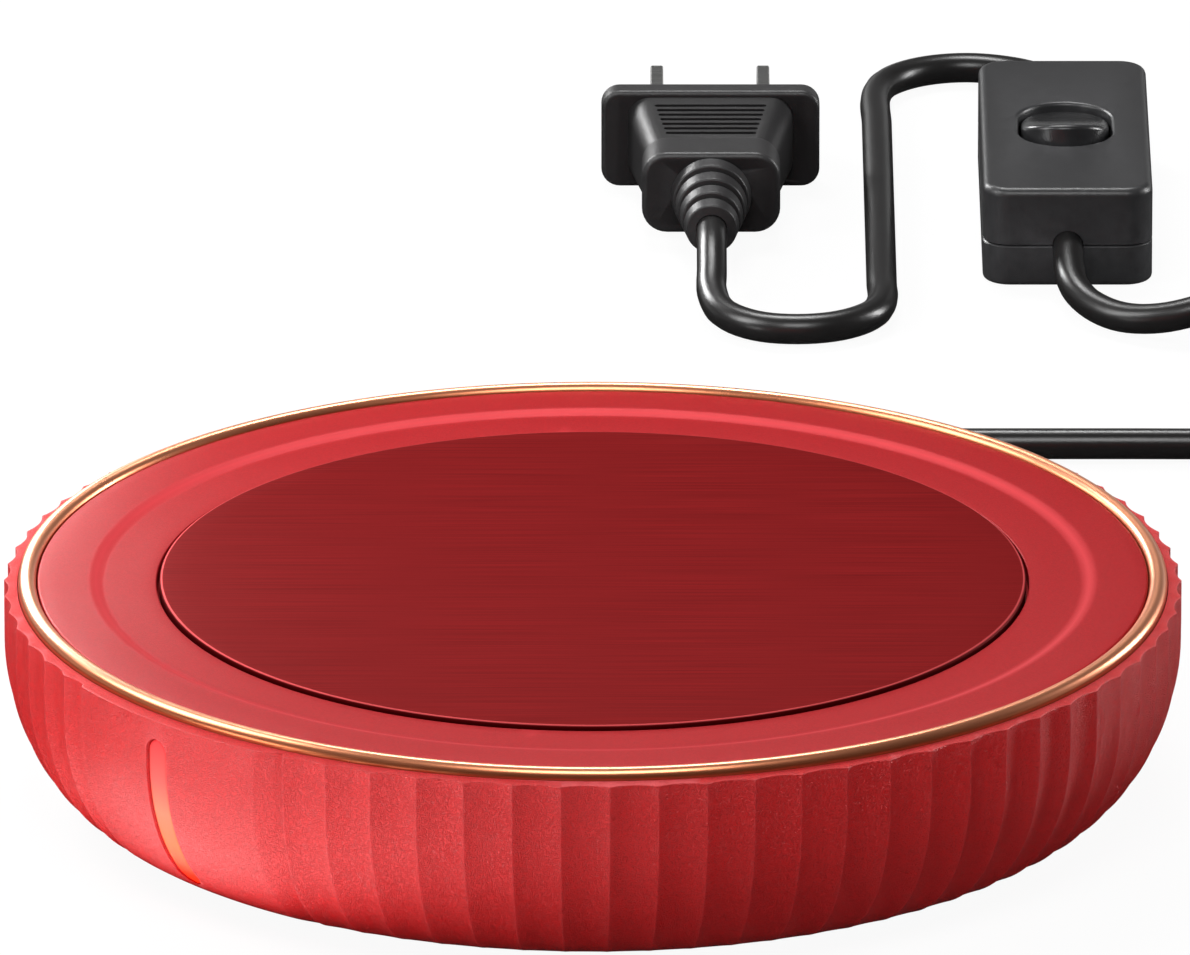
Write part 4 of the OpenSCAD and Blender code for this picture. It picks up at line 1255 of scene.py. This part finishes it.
    def _levels(self) -> list[tuple[Vector, Vector, float]]:
        """List the rows of the wall's outline, up the outside and down the inside.

        Returns:
            Each row's radius and height, the way in which flutes go in, and the flutes' share of their depth.
        """
        out = Vector((1.0, 0.0))
        levels = [(Vector((self.base_r - self.edge_in, self.edge_z)), out, 0.0)]
        for t in spread(*self.curve_deg, self.curve_steps):
            levels.append((*self.outline(t), smooth_step((t - self.fade_deg[0]) / self.fade_deg[1])))
        lip_r, lip_z = self.lip
        ease, flat = self.lip_round
        shoulder = [(self.body_r, self.upright_z, 0.0), (self.body_r, self.shoulder_z, self.crease),
                    (lip_r, lip_z, ease), (lip_r - flat, lip_z, 0.0)]
        for r, z in rounded_path(shoulder, 4):
            rise = max(0.0, z - self.shoulder_z) / self.flute_end
            levels.append((Vector((r, z)), out, max(0.0, 1.0 - rise)))
        curve = [self.outline(t) for t in spread(*self.inner_deg, self.inner_steps)]
        inside = [*self.seats, *(point - way * self.wall for point, way in curve), *self.foot]
        return levels + [(Vector(p), out, 0.0) for p in inside]

    def _row(self, point: Vector, way: Vector, share: float, angles: Sequence[Point2]) -> Row:
        """Place one row of points round the wall.

        Args:
            point: Radius and height of the row.
            way: The way in which flutes go in.
            share: Share of the flutes' depth.
            angles: Angles round the wall, each with its flute's share.

        Returns:
            The row.
        """
        row: list[Point3] = []
        for angle, flute in angles:
            r, z = point - way * (self.depth * share * flute)
            row.append((*polar(r, math.radians(angle)), z))
        return row


@dataclass
class TopWorks:
    """Trim ring, stepped deck and brushed heating plate.

    Attributes:
        ring_r: Inner and outer radius of the trim ring.
        ring_z: Heights of the ring's seat and of its crest.
        deck_under: Radii and heights of the deck's underside, from its bore out to the step.
        deck_flat: Radii of points on the deck's outer and inner flat.
        edge_run: Length of side and of flat next to a rounded edge.
        ledge_z: Height of the ledge that carries the plate's gasket.
        post_z: Heights of the ends of the posts for the base screws.
        plate_flat: Radii of points on the plate's top.
    """

    ring_r: Point2 = (62.15, 64.2)
    ring_z: Point2 = (23.4, 25.4)
    deck_r: float = 62.05
    deck_z: float = 24.8
    deck_under: tuple[Point2, ...] = ((43.4, 21.0), (50.0, 21.0), (50.6, 22.1), (54.5, 22.1), (56.4, 22.8))
    deck_flat: tuple[float, ...] = (60.0, 58.4, 52.0)
    edge_run: Point2 = (1.0, 1.5)
    rim_edge: float = 0.3
    well_edge: float = 0.2
    step_r: float = 56.4
    step_w: float = 1.9
    step_h: float = 0.45
    step_count: int = 16
    ledge_z: float = 22.6
    posts: int = 4
    post_r: float = 46.4
    post_d: float = 6.0
    post_z: Point2 = (3.5, 21.8)
    post_deg: float = 15.0
    plate_r: float = 48.4
    plate_t: float = 1.6
    plate_gap: float = 0.3
    plate_edge: float = 0.4
    plate_side: float = 0.3
    plate_flat: tuple[float, ...] = (45.0, 36.0, 24.0, 12.0, 0.0)
    count: int = 384

    def build(self) -> None:
        """Make the three pieces."""
        self._ring()
        self._deck()
        self._plate()

    def _ring(self) -> None:
        """Make the half-round trim ring."""
        inner, outer = self.ring_r
        seat, top = self.ring_z
        bead = (outer - inner) / 2.0
        arc = [polar(bead, a) for a in spread(0.0, math.pi, 28)]
        profile = [(inner, seat), (outer, seat), *((inner + bead + x, top - bead + y) for x, y in arc)]
        settle(lathed("trim_bead", profile, self.count), Finishes.GOLD, "trim_ring")

    def _deck(self) -> None:
        """Make the deck with its soft step, its ledge and its screw posts."""
        top, flat = self.deck_z, self.deck_z - self.step_h
        inner = self.plate_r + self.plate_gap
        foot = self.step_r - self.step_w
        shares = [k / self.step_count for k in range(self.step_count, -1, -1)]
        step = [(foot + self.step_w * x, flat + self.step_h * (1.0 - math.cos(math.pi * x)) / 2.0)
                for x in shares]
        near, middle, far = self.deck_flat
        side, reach = self.edge_run
        rim = rounded_path([(self.deck_r, top - side, 0.0), (self.deck_r, top, self.rim_edge),
                            (near, top, 0.0)])
        well = rounded_path([(inner + reach, flat, 0.0), (inner, flat, self.well_edge),
                             (inner, flat - side, 0.0)])
        under = [*self.deck_under, (self.deck_r, self.deck_under[-1][1])]
        ledge = [(inner, self.ledge_z), (self.deck_under[0][0], self.ledge_z)]
        profile = [*under, *rim, (middle, top), *step, (far, flat), *well, *ledge]
        deck = lathed("stepped_deck", profile, self.count)
        for k in range(self.posts):
            x, y = polar(self.post_r, math.radians(self.post_deg + 360.0 / self.posts * k))
            combine(deck, solid("post", upright(circle(self.post_d), self.post_z, x, y)), Join.ADD)
        settle(deck, Finishes.DECK, "top_cover")

    def _plate(self) -> None:
        """Make the heating plate with its rounded upper edge."""
        top, low = self.deck_z, self.deck_z - self.plate_t
        near, *flat = self.plate_flat
        rim = rounded_path([(self.plate_r, low + self.plate_side, 0.0), (self.plate_r, top, self.plate_edge),
                            (near, top, 0.0)], 10)
        profile = [(0.0, low), (self.plate_r, low), *rim, *((r, top) for r in flat)]
        settle(lathed("hot_plate", profile, self.count), Finishes.PLATE, "heating_plate")


@dataclass
class LightBar:
    """The lit bar in the wall's slot.

    Attributes:
        shell: The wall that it sits in.
        ends: Heights of its lower and upper end.
        sink: How far its face lies below the wall's.
        edge: Rounding of its face.
        end_degs: Angles of the rows round each end.
    """

    shell: FlutedShell
    width: float = 3.1
    ends: Point2 = (3.5, 21.8)
    sink: float = 0.22
    edge: float = 0.4
    thick: float = 3.4
    columns: int = 8
    end_degs: tuple[float, ...] = (3.0, 12.0, 25.0, 40.0, 55.0, 70.0, 82.0)
    sharp_deg: float = 60.0

    def build(self) -> None:
        """Make the bar as rows from its lower to its upper end."""
        r = self.width / 2.0
        low, high = self.ends
        arc = [(r * (1.0 - math.cos(a)), r * math.sin(a)) for a in map(math.radians, self.end_degs)]
        rows = [(low + rise, half) for rise, half in arc]
        rows += [(z, r) for z in spread(low + r, high - r, 28)]
        rows += [(high - rise, half) for rise, half in reversed(arc)]
        draft = MeshDraft()
        draft.loft([self._loop(z, half) for z, half in rows])
        settle(draft.to_object("light_bar", self.sharp_deg), Finishes.GLOW, "light_guide")

    def _loop(self, z: float, half: float) -> Row:
        """Place one row: across the face, then back along the rear.

        Args:
            z: Height of the row.
            half: Half of the bar's width there.

        Returns:
            The row.
        """
        wall_r = self.shell.radius_at(z)
        edge = min(self.edge, half)
        shares = [math.sin(math.pi / 2.0 * k / self.columns) for k in range(-self.columns, self.columns + 1)]
        face: list[Point3] = []
        for x in (half * share for share in shares):
            over = min(1.0, max(0.0, abs(x) - half + edge) / edge)
            sink = self.sink + edge * (1.0 - math.sqrt(1.0 - over * over))
            face.append((x, sink - math.sqrt(wall_r * wall_r - x * x), z))
        return face + [(half * share, self.thick - wall_r, z) for share in reversed(shares)]


@dataclass
class Gland:
    """The ribbed boot where the lead leaves the body.

    Attributes:
        flange: Diameter and thickness of the flange inside the wall.
        start: Distance from the axis where the flange begins.
        neck: Distance where the ribs begin.
        end: Distance of the boot's tip.
        big: Diameter at the wall.
        rib: Shares of the pitch where a rib ends and where its groove is deep.
        groove: Depth of the grooves between ribs.
        land: Length of a groove's rise to the next rib.
        tip_run: Length of the tip's plain end.
        edges: Radii of the edges of flange, ribs, grooves and tip.
        height: Height of the lead's axis.
    """

    bore: float = 3.7
    flange: Point2 = (10.4, 1.6)
    start: float = 52.0
    neck: float = 70.0
    end: float = 88.0
    big: float = 8.0
    tip: float = 5.2
    ribs: int = 4
    rib: Point2 = (0.6, 0.7)
    groove: float = 0.7
    land: float = 0.35
    tip_run: float = 0.25
    edges: tuple[float, ...] = (0.2, 0.3, 0.15, 0.1)
    height: float = 11.0

    def build(self) -> Piece:
        """Make the boot.

        Returns:
            The boot.
        """
        rim, step = self.flange[0] / 2.0, self.start + self.flange[1]
        rim_edge, rib_edge, groove_edge, tip_edge = self.edges
        corners = [(self.bore / 2.0, self.start, 0.0), (rim, self.start, rim_edge), (rim, step, rim_edge),
                   (self.big / 2.0, step, 0.0)]
        pitch = (self.end - self.neck) / self.ribs
        for k in range(self.ribs):
            v = self.neck + pitch * k
            full, deep = [v + pitch * share for share in self.rib]
            corners += [(self._radius(v), v, rib_edge), (self._radius(full), full, rib_edge),
                        (self._radius(deep) - self.groove, deep, groove_edge),
                        (self._radius(v + pitch) - self.groove, v + pitch - self.land, tip_edge)]
        tip = self.tip / 2.0
        corners += [(tip, self.end - self.tip_run, tip_edge), (tip, self.end, tip_edge),
                    (self.bore / 2.0, self.end, 0.0)]
        boot = lathed("lead_boot", rounded_path(corners, 4), 64,
                      lambda p: lead_point((p[0], p[2], self.height - p[1])))
        return settle(boot, Finishes.CORD, "cord_gland")

    def _radius(self, v: float) -> float:
        """Give the boot's tapered radius at a distance."""
        return self.big / 2.0 - (self.big - self.tip) / 2.0 * (v - self.neck) / (self.end - self.neck)


def rounded_block(size: Point2, corner: float, levels: Sequence[Point2]) -> list[Row]:
    """Stack rounded rectangles at levels of inset and height into the rows of a block, from the lowest up."""
    return [[(x, y, z) for x, y in rounded_rectangle(*size, corner, inset)] for inset, z in levels]


@dataclass
class RockerSwitch:
    """The inline switch: two half cases and a rocker.

    Attributes:
        u: Place of its middle to the side.
        v: Place of its middle away from the body.
        split: Height where the halves meet.
        seam: Insets and heights from the split at which each half is eased there.
        well: Width and length of the rocker's opening.
        flare: How far the opening widens, and the heights from the case's top where it does.
        screw: Places of the recesses for screws, to the side and along.
        rocker: Width and length of the rocker.
        pivot: Height of the rocker's axle.
        crown: Height of the rocker's top over the axle.
        rise: How much higher the rocker's ends are.
        foot: How far the rocker reaches under the axle.
        dish: Insets and drops of the rows across the rocker's top.
        tilt_deg: Tilt of the rocker at rest, far end down.
    """

    u: float = 56.0
    v: float = 193.0
    width: float = 20.0
    length: float = 48.0
    height: float = 12.0
    split: float = 5.0
    seam: tuple[Point2, ...] = ((0.0, 0.2), (0.12, 0.06), (0.3, 0.0))
    corner: float = 3.2
    floor_edge: float = 0.6
    top_edge: float = 1.0
    wall: float = 1.6
    well: Point2 = (11.0, 15.7)
    flare: tuple[Point2, ...] = ((0.0, -0.5), (0.18, -0.18), (0.5, 0.0), (0.5, 1.0))
    lead_d: float = 3.7
    screw: Point2 = (5.8, 19.0)
    recess_d: float = 3.8
    recess_z: Point2 = (-0.5, 0.7)
    rocker: Point2 = (10.4, 14.0)
    rounding: float = 0.7
    pivot: float = 8.4
    crown: float = 3.6
    rise: float = 0.6
    foot: float = 1.4
    foot_edge: float = 0.25
    dish: tuple[Point2, ...] = ((1.4, 0.02), (2.4, 0.04), (3.4, 0.05), (4.3, 0.05), (4.9, 0.05))
    tilt_deg: float = 12.0

    def build(self) -> list[Piece]:
        """Make the three pieces and return them."""
        return [self._lower(), self._upper(), self._rocker()]

    def _set(self, place: Point3) -> Point3:
        """Send a point about the switch's middle to the object's frame."""
        return lead_point((self.u + place[0], self.v + place[1], place[2]))

    def _half(self, name: str, levels: Sequence[Point2], low: float, high: float) -> Piece:
        """Make a half case, hollow and with the lead's holes.

        Args:
            name: Name of the piece.
            levels: Insets and heights of its rows.
            low: Height where its hollow begins.
            high: Height where its hollow ends.

        Returns:
            The half case.
        """
        case = solid(name, rounded_block((self.width, self.length), self.corner, levels), self._set)
        inner = (self.width - 2.0 * self.wall, self.length - 2.0 * self.wall)
        room = rounded_block(inner, self.corner - self.wall, [(0.0, low), (0.0, high)])
        combine(case, solid("room", room, self._set), Join.CUT)
        reach = self.length / 2.0 + 1.0
        hole = lengthwise(circle(self.lead_d), -reach, reach, self.split)
        combine(case, solid("lead_hole", hole, self._set), Join.CUT)
        return case

    def _lower(self) -> Piece:
        """Make the lower half, with the screw recesses in its floor.

        Returns:
            The lower half.
        """
        levels = round_over(self.floor_edge, 0.0, False) + [(inset, self.split - z) for inset, z in self.seam]
        case = self._half("switch_floor", levels, self.wall, self.split + 1.0)
        x, y = self.screw
        for across, along in ((x, y), (-x, y), (x, -y), (-x, -y)):
            recess = upright(circle(self.recess_d), self.recess_z, across, along)
            combine(case, solid("recess", recess, self._set), Join.CUT)
        weigh_normals(case)
        return settle(case, Finishes.SWITCH, "switch_case_lower")

    def _upper(self) -> Piece:
        """Make the upper half, with the rocker's opening.

        Returns:
            The upper half.
        """
        levels = [(inset, self.split + z) for inset, z in reversed(self.seam)]
        levels += round_over(self.top_edge, self.height, True, 7)
        case = self._half("switch_cover", levels, self.split - 1.0, self.height - self.wall)
        sides = [(0.0, self.split), *((out, self.height + z) for out, z in self.flare)]
        rows = [[(x, y, z) for x, y in self._slot(self.well, -out, 24)] for out, z in sides]
        combine(case, solid("well", rows, self._set), Join.CUT)
        weigh_normals(case)
        return settle(case, Finishes.SWITCH, "switch_case_upper")

    def _slot(self, size: Point2, inset: float, steps: int) -> list[Point2]:
        """Outline a slot with round ends, moved in by an inset."""
        return stadium(size[0] - 2.0 * inset, size[1] - 2.0 * inset, steps)

    def _top(self, along: float) -> float:
        """Give the rocker's upper height over its axle, along its length."""
        flat = self.rocker[1] / 5.0
        share = min(1.0, max(0.0, abs(along) - flat) / (self.rocker[1] / 2.0 - flat))
        return self.crown + self.rise * share

    def _tip(self, place: Point3) -> Point3:
        """Tilt a point of the rocker about its axle and set it in the case."""
        turn = math.radians(self.tilt_deg)
        y = place[1] * math.cos(turn) + place[2] * math.sin(turn)
        z = place[2] * math.cos(turn) - place[1] * math.sin(turn)
        return self._set((place[0], y, self.pivot + z))

    def _rocker(self) -> Piece:
        """Make the rocker with its dished top and rounded edge.

        Returns:
            The rocker.
        """
        ease = self.foot_edge
        rows = [[(x, y, z - self.foot) for x, y in self._slot(self.rocker, ease - z, 20)]
                for z in (0.0, ease)]
        angles = spread(0.0, math.pi / 2.0, 6)
        edge = [(self.rounding * (1.0 - math.cos(a)), self.rounding * (1.0 - math.sin(a))) for a in angles]
        for inset, drop in (*edge, *self.dish):
            rows.append([(x, y, self._top(y) - drop) for x, y in self._slot(self.rocker, inset, 20)])
        piece = solid("rocker_cap", rows, self._tip)
        weigh_normals(piece)
        return settle(piece, Finishes.ROCKER, "switch_rocker", body=Body.ROCKER)


@dataclass
class Plug:
    """The two-blade plug with its ribbed relief, collar, grip and flange; runs are distances from the body.

    Attributes:
        u: Place of its axis to the side.
        z: Height of its axis.
        relief: Run of the ribbed relief.
        relief_d: Diameter of the relief at its tip and at the collar.
        rib: Shares of the pitch where a rib begins to fall, where its groove is deep and where that ends.
        rib_start: Distance of a rib from its pitch's start.
        rib_taper: Share of the taper that a rib takes up.
        rib_edges: Radii of the edges of ribs and grooves.
        rib_depth: Depth of a groove where it is deep and where that ends.
        collar_size: Width and thickness of the collar.
        grip_near: Width and thickness of the grip at the collar.
        grip_far: Width and thickness of the grip at the flange.
        groove: Width and depth of a finger groove.
        groove_run: Length of the grip before the first groove and without any.
        groove_in: How much shorter a groove is than the grip is wide.
        blade: Thickness and width of a blade.
        blade_gap: Distance between the blades' middles.
        hole_in: Distance of the blade's hole from its tip.
    """

    u: float = 14.0
    z: float = 6.0
    bore: float = 3.7
    relief: Point2 = (172.0, 185.4)
    relief_d: Point2 = (6.0, 10.0)
    ribs: int = 4
    rib: Point3 = (0.62, 0.72, 0.98)
    rib_start: float = 0.05
    rib_taper: float = 0.6
    rib_edges: Point2 = (0.3, 0.12)
    rib_depth: Point2 = (0.9, 0.8)
    collar: Point2 = (185.0, 191.4)
    collar_size: Point2 = (16.4, 10.0)
    collar_edges: Point2 = (3.0, 0.7)
    grip: Point2 = (191.0, 205.2)
    grip_near: Point2 = (15.7, 9.2)
    grip_far: Point2 = (19.8, 10.6)
    grip_edges: Point2 = (2.6, 0.3)
    flange: Point2 = (204.8, 208.0)
    flange_size: Point2 = (26.0, 12.0)
    flange_edges: Point2 = (2.2, 0.6)
    grooves: int = 7
    groove: Point2 = (0.75, 0.45)
    groove_run: Point2 = (2.4, 4.0)
    groove_in: float = 5.6
    blade: Point2 = (1.5, 6.35)
    blade_gap: float = 12.7
    blade_run: Point2 = (201.0, 224.0)
    blade_ease: float = 0.2
    blade_corner: float = 1.5
    hole_d: float = 3.0
    hole_in: float = 4.0

    def build(self) -> list[Piece]:
        """Make the moulded body and the blades and return them."""
        return [self._body(), self._blades()]

    def _set(self, place: Point3) -> Point3:
        """Send a point across, up and along the axis to the object's frame."""
        return lead_point((self.u - place[0], place[2], self.z + place[1]))

    def _block(self, name: str, run: Point2, near: Point2, far: Point2, edges: Point2) -> Piece:
        """Make one block of the body along the axis, with rounded ends.

        Args:
            name: Name of the object.
            run: Where it begins and ends.
            near: Width and thickness at its beginning.
            far: Width and thickness at its end.
            edges: Radii of the edges along the axis and at the ends.

        Returns:
            The object.
        """
        corner, edge = edges
        rows: list[Row] = []
        for inset, v in round_over(edge, run[0], False) + round_over(edge, run[1], True):
            share = (v - run[0]) / (run[1] - run[0])
            size = [a + (b - a) * share for a, b in zip(near, far)]
            rows.append([(a, b, v) for a, b in rounded_rectangle(*size, corner, inset)])
        return solid(name, rows, self._set)

    def _relief(self) -> Piece:
        """Make the ribbed relief.

        Returns:
            The relief.
        """
        start, end = self.relief
        pitch = (end - start) / self.ribs
        growth = self.relief_d[1] - self.relief_d[0]
        edge, ease = self.rib_edges
        corners = [(self.bore / 2.0, start, 0.0)]
        for k in range(self.ribs):
            v = start + pitch * k
            near = (self.relief_d[0] + growth * k / self.ribs) / 2.0
            far = near + growth / self.ribs / 2.0 * self.rib_taper
            full, deep, last = [v + pitch * share for share in self.rib]
            corners += [(near, v + self.rib_start, edge), (far, full, edge),
                        (far - self.rib_depth[0], deep, ease), (far - self.rib_depth[1], last, ease)]
        return lathed("plug_relief", rounded_path([*corners, (self.bore / 2.0, end, 0.0)], 4), 64, self._set)

    def _groove(self, side: float, k: int) -> Piece:
        """Make the cutter of one finger groove.

        Args:
            side: 1 for the upper face, -1 for the lower.
            k: Number of the groove.

        Returns:
            The cutter.
        """
        start, end = self.grip
        before, without = self.groove_run
        v = start + before + (end - start - without) / self.grooves * k
        share = (v - start) / (end - start)
        wide, thick = [a + (b - a) * share for a, b in zip(self.grip_near, self.grip_far)]
        plan = stadium(self.groove[0], wide - self.groove_in, 8)
        ups = sorted((side * (thick / 2.0 - self.groove[1]), side * (thick / 2.0 + 1.0)))
        return solid("groove", [[(y, up, v + x) for x, y in plan] for up in ups], self._set)

    def _body(self) -> Piece:
        """Make the moulded body as one skin and cut the finger grooves.

        Returns:
            The body.
        """
        body = self._block("plug_grip_body", self.grip, self.grip_near, self.grip_far, self.grip_edges)
        for side in (1.0, -1.0):
            for k in range(self.grooves):
                combine(body, self._groove(side, k), Join.CUT)
        for other in (self._relief(),
                      self._block("plug_collar", self.collar, *[self.collar_size] * 2, self.collar_edges),
                      self._block("plug_flange", self.flange, *[self.flange_size] * 2, self.flange_edges)):
            combine(body, other, Join.ADD)
        weigh_normals(body)
        return settle(body, Finishes.PLUG, "plug_body")

    def _blades(self) -> Piece:
        """Make both blades with their holes.

        Returns:
            The blades, as one piece.
        """
        thick, half = self.blade[0] / 2.0, self.blade[1] / 2.0
        start, end = self.blade_run
        edges = round_over(self.blade_ease, -thick, False, 3) + round_over(self.blade_ease, thick, True, 3)
        draft = MeshDraft()
        for middle in (-self.blade_gap / 2.0, self.blade_gap / 2.0):
            rows: list[Row] = []
            for inset, a in edges:
                low, high, wide = start + inset, end - inset, half - inset
                side = rounded_path([(low, -wide, LEAST_CORNER), (high, -wide, self.blade_corner),
                                     (high, wide, self.blade_corner), (low, wide, LEAST_CORNER)])
                rows.append([(middle + a, b, v) for v, b in reversed(side)])
            draft.loft(rows)
        draft.place(self._set)
        blades = draft.to_object("plug_pins")
        ring = circle(self.hole_d)[::-1]
        hole = [[(a, b, end - self.hole_in + v) for v, b in ring] for a in (-self.blade_gap, self.blade_gap)]
        combine(blades, solid("blade_hole", hole, self._set), Join.CUT)
        weigh_normals(blades)
        return settle(blades, Finishes.BLADE, "plug_blades")


@dataclass
class CoilTie:
    """The flat band round one side of the coiled lead.

    Attributes:
        lead: The lead whose coil it holds.
        clear: Gap between the band and the coil.
        width: Width of the band along the lead.
        corner: Inner radius of its corners.
        ease: Rounding of its edges.
    """

    lead: Lead
    clear: float = 0.2
    thick: float = 0.4
    width: float = 8.0
    corner: float = 2.0
    ease: float = 0.12

    def build(self) -> Piece:
        """Make the band.

        Returns:
            The band.
        """
        lead = self.lead
        around = lead.diameter + 2.0 * self.clear
        turn_r = lead.coil_in_r - lead.diameter / 2.0
        bend = turn_r - math.sqrt(turn_r ** 2 - (self.width / 2.0) ** 2)
        wide = lead.coil_out_r - lead.coil_in_r + around + bend
        high = lead.coil_pitch + around
        u = lead.coil_centre[0] + (lead.coil_out_r + lead.coil_in_r - bend) / 2.0
        v = lead.coil_centre[1]
        z = lead.coil_z + lead.coil_pitch / 2.0
        inner = rounded_rectangle(wide, high, self.corner)
        outer = rounded_rectangle(wide + 2.0 * self.thick, high + 2.0 * self.thick, self.corner + self.thick)
        band = solid("tie_band", [self._section(a, b) for a, b in zip(inner, outer)],
                     lambda p: lead_point((u + p[0], v + p[1], z + p[2])), around=True)
        return settle(band, Finishes.TIE, "coil_tie")

    def _section(self, inner: Point2, outer: Point2) -> Row:
        """Place the band's section at one station.

        Args:
            inner: The station's point on the inner face, across and up.
            outer: Its point on the outer face.

        Returns:
            The section's points: outer face, then inner face, edges eased.
        """
        half = self.width / 2.0
        flat = half - self.ease
        places = ((0.3, -half), (0.7, -half), (1.0, -flat), (1.0, flat),
                  (0.7, half), (0.3, half), (0.0, flat), (0.0, -flat))
        return [(inner[0] + (outer[0] - inner[0]) * share, along, inner[1] + (outer[1] - inner[1]) * share)
                for share, along in places]


class InnerParts:
    """The pieces inside and underneath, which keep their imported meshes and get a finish."""

    FINISHES: dict[Finish, tuple[str, ...]] = {
        Finishes.GASKET: ("plate_gasket",),
        Finishes.ELEMENT: ("heating_element",),
        Finishes.PAD: ("insulation_pad",),
        Finishes.STEEL: ("clamp_plate", "clamp_screws", "fuse_clip", "base_screws", "cord_clamp_screws",
                         "switch_screws", "plunger_spring"),
        Finishes.FUSE: ("thermal_fuse",),
        Finishes.WHITE: ("heater_leads", "lamp_leads"),
        Finishes.GREY: ("mains_wires",),
        Finishes.CAP: ("splice_caps",),
        Finishes.BOARD: ("lamp_board",),
        Finishes.LAMP: ("lamp",),
        Finishes.BASE: ("base_plate", "cord_clamp"),
        Finishes.FOOT: ("feet",),
        Finishes.BRASS: ("rocker_plunger", "contact_bridge", "switch_terminals"),
    }
    IN_SWITCH = ("switch_screws", "rocker_plunger", "plunger_spring", "contact_bridge", "switch_terminals")

    def dress(self) -> None:
        """Give every piece its finish."""
        for finish, nodes in self.FINISHES.items():
            for node in nodes:
                wear(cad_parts[node], finish)
                LOG.info("%s keeps its packed mesh in %s", node, finish.name)


def write_sizes() -> None:
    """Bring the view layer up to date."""
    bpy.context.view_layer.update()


def main() -> None:
    """Build every piece, dress it and light it."""
    logging.basicConfig(level=logging.INFO, format="%(name)s: %(message)s")
    studio = Studio()
    studio.camera()
    lead = Lead()
    lead.build()
    shell = FlutedShell()
    shell.build()
    TopWorks().build()
    LightBar(shell).build()
    gland = Gland().build()
    tie = CoilTie(lead).build()
    switch = RockerSwitch().build()
    plug = Plug().build()
    inner = InnerParts()
    inner.dress()
    studio.light()
    lead.declare()
    write_sizes()


if __name__ == "__main__":
    main()
